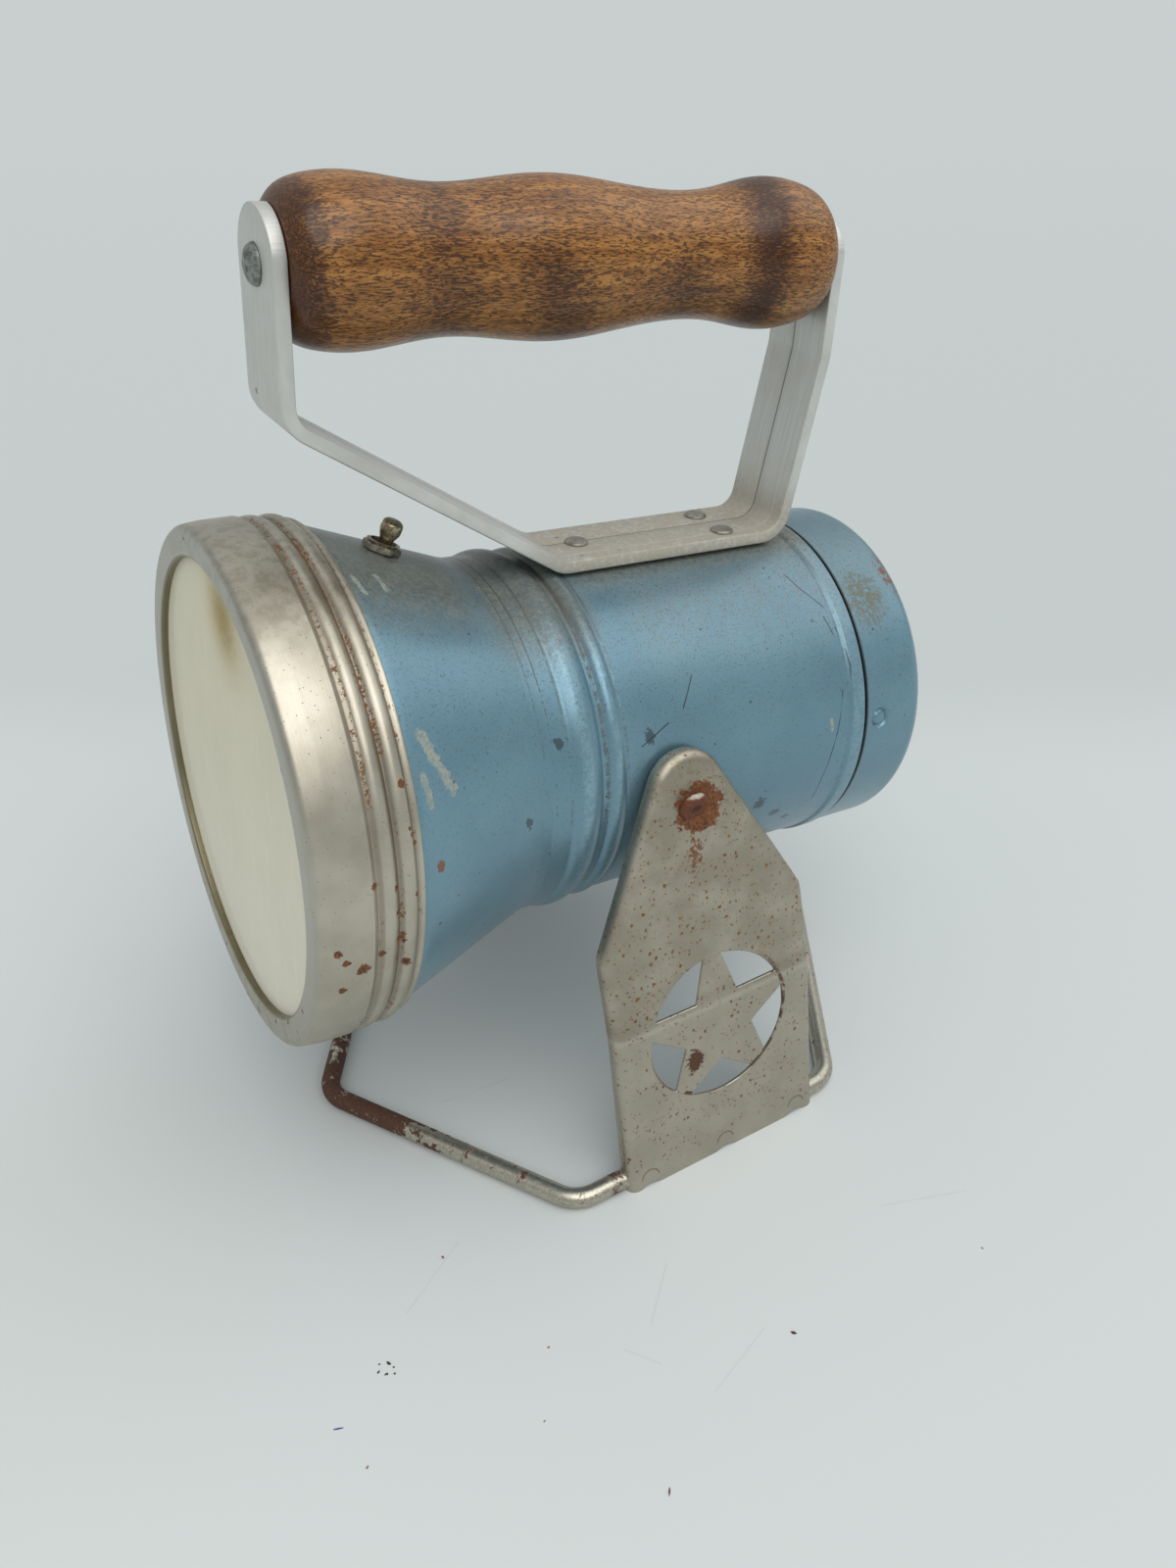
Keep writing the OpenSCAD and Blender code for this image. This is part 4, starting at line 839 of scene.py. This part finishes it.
def bar_path():
    """Points and directions along the bar's bent middle line."""
    line = [Vector(p) for p in rounded(BAR_CORNERS, closed=False, step=6)]
    points = []
    for p, q in zip(line, line[1:]):
        k = max(1, int((q - p).length / 3.0))
        points += [p.lerp(q, j / k) for j in range(k)]
    points.append(line[-1])
    last = len(points) - 1
    ways = [(points[min(i + 1, last)] - points[max(i - 1, 0)]).normalized() for i in range(last + 1)]
    return zip(points, ways)


def bar_ring(p, way, half):
    """Cross-section with round edges and a scribed line on the inner side."""
    t, e = STRAP_T / 2, min(0.42, half * 0.4)
    ends = [(e - half, t), (half - e, t)]
    flat = [(-1.05, t), (-0.80, t - 0.16), (-0.55, t), (6.3, t), (6.6, t - 0.05), (6.9, t)]
    if half < 8:
        flat = [(x * half / (STRAP_W / 2), n) for x, n in flat]
    line = [ends[0], *flat, ends[1]]
    for x, n, first, count in ((half - e, t - e, 67.5, 3), (half - e, e - t, 0, 5), (e - half, e - t, -90, 5),
                               (e - half, t - e, -180, 4)):
        turns = [radians(first - 22.5 * k) for k in range(count)]
        line += [(x + e * cos(a), n + e * sin(a)) for a in turns]
    return [(x, p[0] - way[1] * n, p[1] + way[0] * n) for x, n in line]


def bar_end(y, bolt, way):
    """Rings of a round upper end, from the bolt upwards."""
    heights = [BAR_R * sin(radians(89.2 * k / 14)) for k in range(1, 15)]
    return [bar_ring((y, bolt + h), way, min(STRAP_W / 2, sqrt(BAR_R ** 2 - h ** 2))) for h in heights]


rings = bar_end(FRONT_Y, FRONT_BOLT, (0, -1))[::-1]
rings += [bar_ring(p, way, STRAP_W / 2) for p, way in bar_path()]
rings += bar_end(REAR_Y, REAR_BOLT, (0, 1))
make("handle_bar", swept(rings), "bar_alu", "lamp", ["handle_bar"], angle=34)

BAR_RIVETS = ((0, 87.2), (-6, 126.2), (6, 126.2))
rivet_line = rounded([(0, -3.2, 0), (2.6, -3.2, 0.3), (2.6, -2.2, 0.1), (1.5, -2.2, 0),
                      (1.5, STRAP_T - 0.02, 0), (2.9, STRAP_T, 0.1), (2.9, STRAP_T + 0.45, 0.4),
                      (2.2, STRAP_T + 0.92, 0.9), (0, STRAP_T + 0.98, 0)], step=14)
for k, (x, y) in enumerate(BAR_RIVETS):
    make(f"bar_rivet_{k + 1}", turned(rivet_line, 40), "rivet_alu", "lamp", ["bar_rivets"],
         LAMP @ moved(x, y, TUBE_R) @ UPRIGHT, 34)


# Grip, bolt and nut
GRIP_R, GRIP_BORE = 17, 2.65
SWELLS = ((0.105, 0.125), (0.455, 0.165), (0.895, 0.105))


def grip_r(x):
    """Radius of the wood at x, from 0 at its front end to 1 at the rear: three swells and rounded ends."""
    ends = (1 - 0.24 * exp(-x / 0.014)) * (1 - 0.22 * exp(-(1 - x) / 0.011))
    return GRIP_R * ends * (0.775 + 0.215 * sum(exp(-((x - c) / w) ** 2) for c, w in SWELLS))


def grip_mesh():
    """The turned wood; its bore follows the bolt, which leans a little against the outline."""
    line = [(GRIP_BORE, -GRIP_L / 2, 0)]
    line += [(grip_r(i / 150), (i / 150 - 0.5) * GRIP_L, 0.8 if i in (0, 150) else 0) for i in range(151)]
    line += [(GRIP_BORE, GRIP_L / 2, 0)]
    verts, faces = turned(rounded(line, step=9), 160)
    for i, (x, y, z) in enumerate(verts):
        if hypot(x, z) < GRIP_BORE + 0.15:
            verts[i] = (x, y, z - WOOD_RISE - y * tan(GRIP_LEAN))
    return verts, faces


make("grip", grip_mesh(), "wood", "lamp", ["grip"], WOOD)

HEAD_Y = FRONT_Y - GRIP_MID - STRAP_T / 2 - 0.1
TAIL_Y = REAR_Y - GRIP_MID + STRAP_T / 2 + 4
NUT_Y = TAIL_Y - 3.9


def bolt_move(a, r, y):
    """Worn rim and a shallow hammered hollow in the head."""
    if y >= HEAD_Y + 0.2:
        return r, y
    k = noise.noise(Vector((2.6 * cos(a) * r / 4, 2.6 * sin(a) * r / 4, 7.7)))
    hollow = 0.35 * exp(-((r - 1.2) / 0.9) ** 2) * (0.6 + k)
    return min(r * (1 + 0.03 * k), 4.1), max(y + hollow, HEAD_Y - 2.1)


bolt_line = rounded([(0, HEAD_Y - 2.1, 0), (1.7, HEAD_Y - 1.95, 1.5), (3.3, HEAD_Y - 1.3, 1.5),
                     (4.05, HEAD_Y - 0.35, 0.4), (4.1, HEAD_Y, 0.1), (2.5, HEAD_Y, 0),
                     (2.5, TAIL_Y - 0.4, 0.3), (2.0, TAIL_Y, 0.2), (0, TAIL_Y, 0)])
bolt_line = split_long(bolt_line, 0.6)
make("grip_bolt", turned(bolt_line, 64, bolt_move), "bolt", "lamp", ["grip_bolt"], GRIP)

NUT_LEVELS = ((0, 0.93), (0.3, 1.0), (2.7, 1.0), (3.0, 0.93))
DOME_LEVELS = ((3.0, 3.8), (4.4, 3.5), (4.9, 3.1), (4.9, 2.65), (4.2, 2.6))
rings = [[(x, NUT_Y + y, z) for x, z in hexagon(4.6, 4.55, k)] for y, k in NUT_LEVELS]
rings += [[(x, NUT_Y + y, z) for x, z in circle(r)] for y, r in DOME_LEVELS]
make("grip_nut", swept(rings), "bolt", "lamp", ["grip_nut"], GRIP, 34)


# Toggle switch
neck = [(2.95, -8.5, 0), (2.95, 2.35, 0.1), (3.0, 2.4, 0)]
for i in range(6):
    neck += [(3.8, 2.2 - i * 0.42, 0), (3.52, 1.99 - i * 0.42, 0)]
neck += [(3.8, -0.4, 0), (3.8, -8.5, 0)]
make("switch_neck", turned(rounded(neck), 48), "nut", "lamp", ["switch_case"], SWITCH @ UPRIGHT, 34)

case = [[(x * k, y * k, z) for x, y in ((-6, -7), (6, -7), (6, 7), (-6, 7))]
        for z, k in ((-4.0, 0.96), (-4.3, 1.0), (-12.7, 1.0), (-13.0, 0.96))]
make("switch_case", swept(case), "black", "lamp", ["switch_case"], SWITCH, 34)

SWITCH_NUT_LEVELS = ((0.25, 0.97), (0.4, 1.0), (1.55, 1.0), (1.75, 0.95))
rings = [[(x, y, z) for x, y in hexagon(4.55, 4.4, k)] for z, k in SWITCH_NUT_LEVELS]
rings += [[(x, y, z) for x, y in circle(3.82)] for z in (1.75, 0.25)]
make("switch_nut", swept(rings, loop=True), "nut", "lamp", ["switch_nut"], SWITCH, 34)

LEVER_END, LEVER_DEPTH = 9.2, 1.2
lever = rounded([(0, -5.6, 0), (1.1, -5.6, 0.2), (1.25, -2.6, 0.2), (2.88, -1.2, 1.6), (2.88, 1.5, 1.6),
                 (1.42, 2.9, 0.8), (1.62, LEVER_END - 4.6, 1.5), (2.42, LEVER_END - 2.7, 2.0),
                 (2.35, LEVER_END - 0.2, 1.5), (0.6, LEVER_END, 0.8), (0, LEVER_END, 0)], step=10)
make("switch_lever", turned(lever, 48), "toggle", "lever", ["switch_lever"],
     SWITCH @ moved(0, 0, -LEVER_DEPTH) @ Matrix.Rotation(radians(12), 4, "Y") @ UPRIGHT)


# Side plates: (y, u) is a place on the sheet, with u down from the pivot
HALF = PLATE_W / 2
SHOULDER = HALF + 2
EDGE_WAY = atan2(-SHOULDER - APEX_C, HALF) + acos(APEX_R / hypot(HALF, SHOULDER + APEX_C))


def plate_at(u):
    """Place and lean of the sheet's outer face at u, softly bent at the crease."""
    k = max(0.0, min(1.0, (u - CREASE_DROP + 3.0) / 6.0))
    lean = SPLAY_TOP + (SPLAY_LOW - SPLAY_TOP) * k
    if u <= CREASE_DROP - 3:
        return SHEET_X + u * sin(SPLAY_TOP), PIVOT_Z - u * cos(SPLAY_TOP), lean
    cx, cz = SHEET_X + CREASE_DROP * sin(SPLAY_TOP), PIVOT_Z - CREASE_DROP * cos(SPLAY_TOP)
    if u >= CREASE_DROP + 3:
        v = u - CREASE_DROP
        return cx + v * sin(SPLAY_LOW), cz - v * cos(SPLAY_LOW), lean
    a = Vector((cx - 3 * sin(SPLAY_TOP), cz + 3 * cos(SPLAY_TOP)))
    b = Vector((cx + 3 * sin(SPLAY_LOW), cz - 3 * cos(SPLAY_LOW)))
    c = Vector((cx, cz))
    p = a * (1 - k) ** 2 + c * 2 * k * (1 - k) + b * k * k
    return p[0], p[1], lean


def plate_point(y, u, depth):
    x, z, lean = plate_at(u)
    return (x - depth * cos(lean), y, z - depth * sin(lean))


def plate_outline(inset):
    """Side edges and round top of the sheet, from one foot over the top to the other: (y, u, outward way)."""
    r, side_y = APEX_R - inset, HALF - inset
    slant = (cos(EDGE_WAY), sin(EDGE_WAY))
    bend_v = APEX_C + (r - slant[0] * side_y) / slant[1] - 2.2
    side = [(side_y, -PLATE_DROP + (PLATE_DROP + bend_v) * i / 14, (1, 0)) for i in range(15)]
    for i in range(1, 6):
        a = EDGE_WAY * i / 6
        side.append((side_y + (1 - cos(a)) * -0.9, bend_v + 3.4 * i / 6, (cos(a), sin(a))))
    start = side[-1]
    end = (r * slant[0], APEX_C + r * slant[1])
    side += [(start[0] + (end[0] - start[0]) * i / 12, start[1] + (end[1] - start[1]) * i / 12, slant)
             for i in range(1, 12)]
    for i in range(15):
        a = EDGE_WAY + (pi / 2 - EDGE_WAY) * i / 14
        side.append((r * cos(a), APEX_C + r * sin(a), (cos(a), sin(a))))
    other = [(-y, v, (-n[0], n[1])) for y, v, n in reversed(side[:-1])]
    return [(y, -v, (n[0], -n[1])) for y, v, n in side + other]


def plate_foot():
    """The cut foot with its three scallops."""
    out, edge = [], HALF - EDGE_R
    for i in range(1, 84):
        y = -edge + 2 * edge * i / 84
        near = [y - c for c in SCALLOPS if abs(y - c) < SCALLOP_HALF]
        rises = [sqrt(SCALLOP_R ** 2 - d ** 2) - SCALLOP_LOW for d in near]
        out.append((y, PLATE_DROP - max([0.0, *rises])))
    return out


def star_windows():
    """The five windows round the star."""
    a = radians(36) - asin(STAR_ARM / 2 / STAR_R)
    line = [(STAR_R * 0.52, 0.0, 0.25)]
    for i in range(15):
        turn = -a + 2 * a * i / 14
        line.append((STAR_R * cos(turn), STAR_R * sin(turn), 0.25 if i in (0, 14) else 0))
    window = rounded(line, step=25)
    out = []
    for k in range(5):
        c, s = cos(radians(54 - 72 * k)), sin(radians(54 - 72 * k))
        out.append([(x * c - y * s, STAR_DROP - (x * s + y * c)) for x, y in window])
    return out


def widened(poly, d):
    """A closed line with each of its sides moved outwards by d."""
    n, out = len(poly), []
    area = sum(poly[i][0] * poly[(i + 1) % n][1] - poly[(i + 1) % n][0] * poly[i][1] for i in range(n))
    s = 1 if area > 0 else -1
    for i in range(n):
        p0, p1, p2 = Vector(poly[i - 1]), Vector(poly[i]), Vector(poly[(i + 1) % n])
        a, b = (p1 - p0).normalized(), (p2 - p1).normalized()
        na, nb = Vector((-a[1], a[0])) * s, Vector((-b[1], b[0])) * s
        m = (na + nb).normalized()
        out.append(tuple(p1 - m * d / max(0.5, m.dot(na))))
    return out


def inside(p, poly):
    x, y, hit = p[0], p[1], False
    for i in range(len(poly)):
        (xi, yi), (xj, yj) = poly[i], poly[i - 1]
        if (yi > y) != (yj > y) and x < (xj - xi) * (y - yi) / (yj - yi) + xi:
            hit = not hit
    return hit


def on_sheet(p, border, holes):
    return inside(p, border) and not any(inside(p, w) for w in holes)


def sheet_points(border, holes):
    """A net of points on the sheet, closer at the crease and clear of its edges."""
    edges = [Vector(p) for line in (border, *holes) for p in line]
    out, row, u = [], 0, -11.0
    while u < PLATE_DROP - 1.5:
        y = -HALF + 3.4 + (row % 2) * 1.4
        while y < HALF - 3:
            p = Vector((y, u))
            if on_sheet(p, border, holes) and min((p - q).length_squared for q in edges) > 1.2:
                out.append(p)
            y += 2.8
        u += 0.9 if abs(u - CREASE_DROP) < 4.2 else 2.6
        row += 1
    return out


class Skin:
    """Points and faces of a mesh in the making."""

    def __init__(self):
        self.verts, self.faces = [], []

    def add(self, points):
        start = len(self.verts)
        self.verts += points
        return list(range(start, len(self.verts)))

    def join(self, a, b, closed=True):
        """Faces between two runs of points."""
        for i in range(len(a) if closed else len(a) - 1):
            j = (i + 1) % len(a)
            self.faces.append((a[i], a[j], b[j], b[i]))

    def sheet(self, border, holes, depth, back):
        """One face of a sheet with holes; gives the points of the border and of each hole."""
        points, loops = [], []
        for line in (border, *holes):
            loops.append(list(range(len(points), len(points) + len(line))))
            points += [Vector(p) for p in line]
        edges = [(run[i], run[(i + 1) % len(run)]) for run in loops for i in range(len(run))]
        points += sheet_points(border, holes)
        flat, _, tris, sources = delaunay_2d_cdt(points, edges, [], 1, 1e-5)[:4]
        new = self.add([plate_point(p[0], p[1], depth) for p in flat])
        for t in tris:
            if on_sheet(sum((flat[i] for i in t), Vector((0, 0))) / len(t), border, holes):
                self.faces.append(tuple(new[i] for i in (reversed(t) if back else t)))
        where = {s: new[i] for i, group in enumerate(sources) for s in group}
        return [[where[i] for i in run] for run in loops]


def plate_mesh():
    """The sheet with its windows, the rolled edge, the flange's lip and the cut foot."""
    skin, windows, rim = Skin(), star_windows(), 0.16
    edge = plate_outline(EDGE_R)
    n = len(edge)
    border = [(y, u) for y, u, way in edge] + plate_foot()
    wide = [widened(w, rim) for w in windows]
    top = skin.sheet(border, wide, 0.0, False)
    low = skin.sheet(border, wide, PLATE_T, True)
    for k, w in enumerate(windows):
        a = skin.add([plate_point(y, u, rim) for y, u in w])
        b = skin.add([plate_point(y, u, PLATE_T - rim) for y, u in w])
        skin.join(top[k + 1], a)
        skin.join(a, b)
        skin.join(b, low[k + 1])

    def run(out, depth):
        """The edge's points moved outwards and to a depth."""
        return skin.add([plate_point(y + way[0] * out, u + way[1] * out, depth) for y, u, way in edge])

    inner_r = EDGE_R - PLATE_T
    turns = [pi / 2 * j / 7 for j in range(1, 8)]
    outer = [top[0][:n]] + [run(EDGE_R * sin(a), EDGE_R * (1 - cos(a))) for a in turns]
    outer += [run(EDGE_R, FLANGE_D - 0.15), run(EDGE_R - 0.15, FLANGE_D)]
    inner = [low[0][:n]] + [run(inner_r * sin(a), PLATE_T + inner_r * (1 - cos(a))) for a in turns]
    inner += [run(inner_r, FLANGE_D - 0.15), run(inner_r + 0.15, FLANGE_D)]
    whole = outer + inner[::-1]
    for a, b in zip(whole, whole[1:]):
        skin.join(a, b, False)
    foot_top, foot_low = ([face[0][n - 1], *face[0][n:], face[0][0]] for face in (top, low))
    skin.join(foot_low, foot_top, False)
    for end in (0, n - 1):
        skin.join([s[end] for s in outer], [s[end] for s in inner], False)
    # the foot is cut level with the floor
    return [(x, y, max(z, 0.0)) for x, y, z in skin.verts], skin.faces


def tab_mesh():
    """Three tabs bent under and round the wire, on the inner side of the foot."""
    skin = Skin()
    near, out = WIRE_R + 0.05, WIRE_R + 0.82
    for c in SCALLOPS:
        rings = []
        for i in range(19):
            a = pi - radians(-5 + 10 * i)
            rings.append([(WIRE_X + r * cos(a), c + y, WIRE_R + r * sin(a))
                          for r, y in ((near, -2.5), (near, 2.5), (out, 2.5), (out, -2.5))])
        verts, faces = swept(rings)
        new = skin.add(verts)
        skin.faces += [tuple(new[i] for i in t) for t in faces]
    return skin.verts, skin.faces


def rust_move(a, r, y):
    """Rust swells and pits the rivet's head."""
    if y > 0.1:
        k = noise.noise(Vector((r * cos(a) * 0.8, r * sin(a) * 0.8, y * 0.8)))
        return min(4.1, r + 0.10 * k - 0.05), min(1.6, y + 0.16 * k)
    return r, y


pivot_line = rounded([(2.5, -6.0, 0), (2.5, 0.02, 0), (4.1, 0.02, 0.1), (4.1, 0.75, 0.3), (3.3, 1.45, 1.0),
                      (1.6, 1.55, 0.6), (1.0, 1.25, 0.5), (0, 1.2, 0), (0, -6.0, 0)])
pivot_head = turned(split_long(pivot_line, 0.4)[:-1], 72, rust_move)
SHEET_WAY = Matrix.Rotation(SPLAY_TOP, 4, "Y") @ Matrix.Rotation(radians(-90), 4, "Z")
RIVET = moved(SHEET_X, 0, PIVOT_Z) @ SHEET_WAY
plate, tabs = plate_mesh(), tab_mesh()
for side, place in (("right", ROW), ("left", MIRROR)):
    make(f"side_plate_{side}", plate, "nickel", "stand", [f"side_plate_{side}"], place, 30)
    make(f"wire_tabs_{side}", tabs, "nickel", "stand", [f"side_plate_{side}"], place, 30)
for side, place in (("right", RIVET), ("left", MIRROR @ RIVET)):
    make(f"pivot_rivet_{side}", pivot_head, "rivet_steel", "stand", ["pivot_rivets"], place)


# Base wire
def wire_rings():
    side, reach, ahead, bend = 39.4, 79.6, 3.2, 9.0
    c = [(WIRE_X, -side), (WIRE_X, side), (0, reach), (-WIRE_X, side), (-WIRE_X, -side), (0, -reach)]
    line = split_long(rounded([(x, y - ahead, bend) for x, y in c], step=6), 4.0)
    rings = []
    for i, p in enumerate(line):
        way = (Vector(line[(i + 1) % len(line)]) - Vector(line[i - 1])).normalized()
        rings.append([(p[0] + way[1] * a, p[1] - way[0] * a, WIRE_R + b) for a, b in circle(WIRE_R, 28)])
    return rings


make("base_wire", swept(wire_rings(), loop=True), "wire", "stand", ["base_wire"], ROW, 60)

# Pieces shown as constructed, each with the material and the slot of one name
CONSTRUCTED = {
    "glass": "glass", "gasket": "rubber", "reflector": "reflector", "bulb_holder": "brass",
    "bulb_base": "brass", "bulb_globe": "bulb", "pivot_bushings": "spring", "contact_board": "board",
    "centre_contact": "brass", "corner_contact": "brass", "battery_case": "battery",
    "battery_lid": "black", "centre_spring": "spring", "corner_spring": "spring", "cap_liner": "paper",
}
for node, slot in CONSTRUCTED.items():
    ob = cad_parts[node]
    ob.data.materials.clear()
    ob.data.materials.append(MAT[slot])
    ob.data.shade_smooth()
    ob.data.set_sharp_from_angle(angle=radians(35))


# Floor, light and camera
FLOOR_MARKS = (((17.1, -57.1, 0), (19.0, -37.2, 0)), ((91.6, -32.2, 0), (102.7, -43.4, 0)),
               ((117.2, -22.2, 0), (123.7, -40.3, 0)), ((105.9, 22.6, 0), (113.6, 43.5, 0)),
               ((105, -52, 0), (112, -47, 0)), ((60, -72, 0), (71, -90, 0)))


def floor_material():
    """Grey paper with painted light: a little lighter to the front and darker farther back, with faint marks.
    """
    m = Mat("floor_paper")
    m.set(rough=0.75)
    along = m.x * -0.8527 + m.y * 0.5224
    haze = m.noise(0.006, 2, 0.5)
    rag = m.noise(0.12, 3, 0.6, seed=3.0) - 0.5
    marks = greatest([m.scratch(points, 0.25, rag * 0.5) * 0.22 for points in FLOOR_MARKS])
    # painted light: lighter towards the camera, darker farther back
    color = m.over(m.mix(along.step(-250, 130), (0.640, 0.668, 0.662), (0.590, 0.622, 0.625)),
                   (along.step(110, 210), (0.530, 0.565, 0.565)),
                   (along.step(250, 2600), (0.545, 0.580, 0.580)),
                   (haze * 0.10, (0.55, 0.58, 0.58)),
                   (marks, (0.42, 0.45, 0.45)))
    return m.set(color=color, spec=0.0)


bpy.ops.mesh.primitive_circle_add(vertices=128, radius=60, fill_type="NGON", location=(0, 0, -0.00003))
floor = bpy.context.object
floor.name = "floor"
floor.data.materials.append(floor_material())


def speck(name, x, y, length, width, color, seed, turn):
    """A crumb or a fibre on the floor."""
    g = random.Random(seed)
    low, top = [], []
    for px, py in circle(0.5, 12):
        k = 0.7 + 0.5 * g.random()
        px, py = px * length * k, py * width * k
        px, py = px * cos(turn) - py * sin(turn), px * sin(turn) + py * cos(turn)
        low.append((x + px, y + py, 0.02))
        top.append((x + px * 0.5, y + py * 0.5, width * 0.4))
    verts, faces = swept([low, top])
    mesh = bpy.data.meshes.new(name)
    mesh.from_pydata([Vector(v) * 0.001 for v in verts], [], faces[:12] + faces[13:])
    ob = bpy.data.objects.new(name, mesh)
    bpy.context.scene.collection.objects.link(ob)
    mesh.materials.append(plain(name + "_color", color, 0, 0.8))


# (x, y, length, width, colour, turn) of each
CRUMBS = (
    (80.2, -98.2, 1.2, 0.7, (0.05, 0.035, 0.03), 0.4), (82.4, -99.6, 0.9, 0.6, (0.06, 0.04, 0.03), 1.4),
    (81.0, -100.9, 0.8, 0.5, (0.07, 0.05, 0.04), 2.1), (83.2, -98.0, 0.6, 0.5, (0.06, 0.05, 0.05), 0.2),
    (79.4, -100.0, 0.6, 0.4, (0.07, 0.05, 0.04), 0.9), (81.7, -97.6, 0.5, 0.4, (0.06, 0.04, 0.04), 2.6),
    (88.4, -113.0, 2.1, 0.4, (0.04, 0.05, 0.25), 1.2), (99.3, -110.7, 1.0, 0.5, (0.30, 0.16, 0.14), 2.2),
    (136.2, -60.3, 1.9, 0.4, (0.12, 0.035, 0.05), 2.5), (121.7, -17.3, 1.5, 0.8, (0.10, 0.03, 0.02), 0.7),
    (61.8, -76.8, 0.9, 0.6, (0.35, 0.05, 0.04), 0.3), (95.6, -66.2, 0.7, 0.5, (0.40, 0.15, 0.10), 1.0),
    (128.0, 35.0, 0.8, 0.4, (0.25, 0.24, 0.22), 0.4), (110.0, -75.0, 0.7, 0.4, (0.28, 0.26, 0.24), 1.9),
)
for k, (x, y, length, width, color, turn) in enumerate(CRUMBS):
    speck(f"crumb_{k + 1}", x, y, length, width, color, k, turn)

# the sky: grey, lighter upwards, with one soft bright patch
world = bpy.data.worlds.new("studio")
bpy.context.scene.world = world
world.use_nodes = True
sky = Tree(world.node_tree)
way = sky.node("TexCoord").outputs["Generated"]
ramp = sky.node("ValToRGB", {0: sky.node("SeparateXYZ", {0: way}).outputs[2]})
el = ramp.color_ramp.elements
el[0].position, el[0].color = 0.0, (0.46, 0.49, 0.49, 1)
el[1].position, el[1].color = 1.0, (0.80, 0.82, 0.82, 1)
el.new(0.35).color = (0.52, 0.545, 0.545, 1)
glow = sky.vector("DOT_PRODUCT", way, Vector((0.10, 0.66, 0.745)).normalized()).step(0.80, 0.98)
background = sky.nodes["Background"]
sky.put(background, "Color", sky.mix(glow, ramp.outputs[0], (1.62, 1.67, 1.68)))
sky.put(background, "Strength", 0.86)

sun_data = bpy.data.lights.new("soft_sky", "SUN")
sun_data.energy = 1.36
sun_data.angle = radians(55)
sun_data.color = (1.0, 0.99, 0.97)
sun = bpy.data.objects.new("soft_sky", sun_data)
sun.rotation_mode = "QUATERNION"
sun.rotation_quaternion = Vector((-0.62, 0.08, -1)).to_track_quat("-Z", "Y")
bpy.context.scene.collection.objects.link(sun)

cam_data = bpy.data.cameras.new("camera")
cam = bpy.data.objects.new("camera", cam_data)
bpy.context.scene.collection.objects.link(cam)
cam.location = (0.25168245, -0.13890882, 0.26540722)
cam.rotation_euler = (1.02085346, 0.00350799, 1.01898234)
cam_data.lens = 29.1241
cam_data.sensor_width = 36
cam_data.shift_x, cam_data.shift_y = -0.0289068, -0.0300528
cam_data.clip_start, cam_data.clip_end = 0.01, 100
bpy.context.scene.camera = cam
bpy.context.scene.view_settings.view_transform = "Standard"
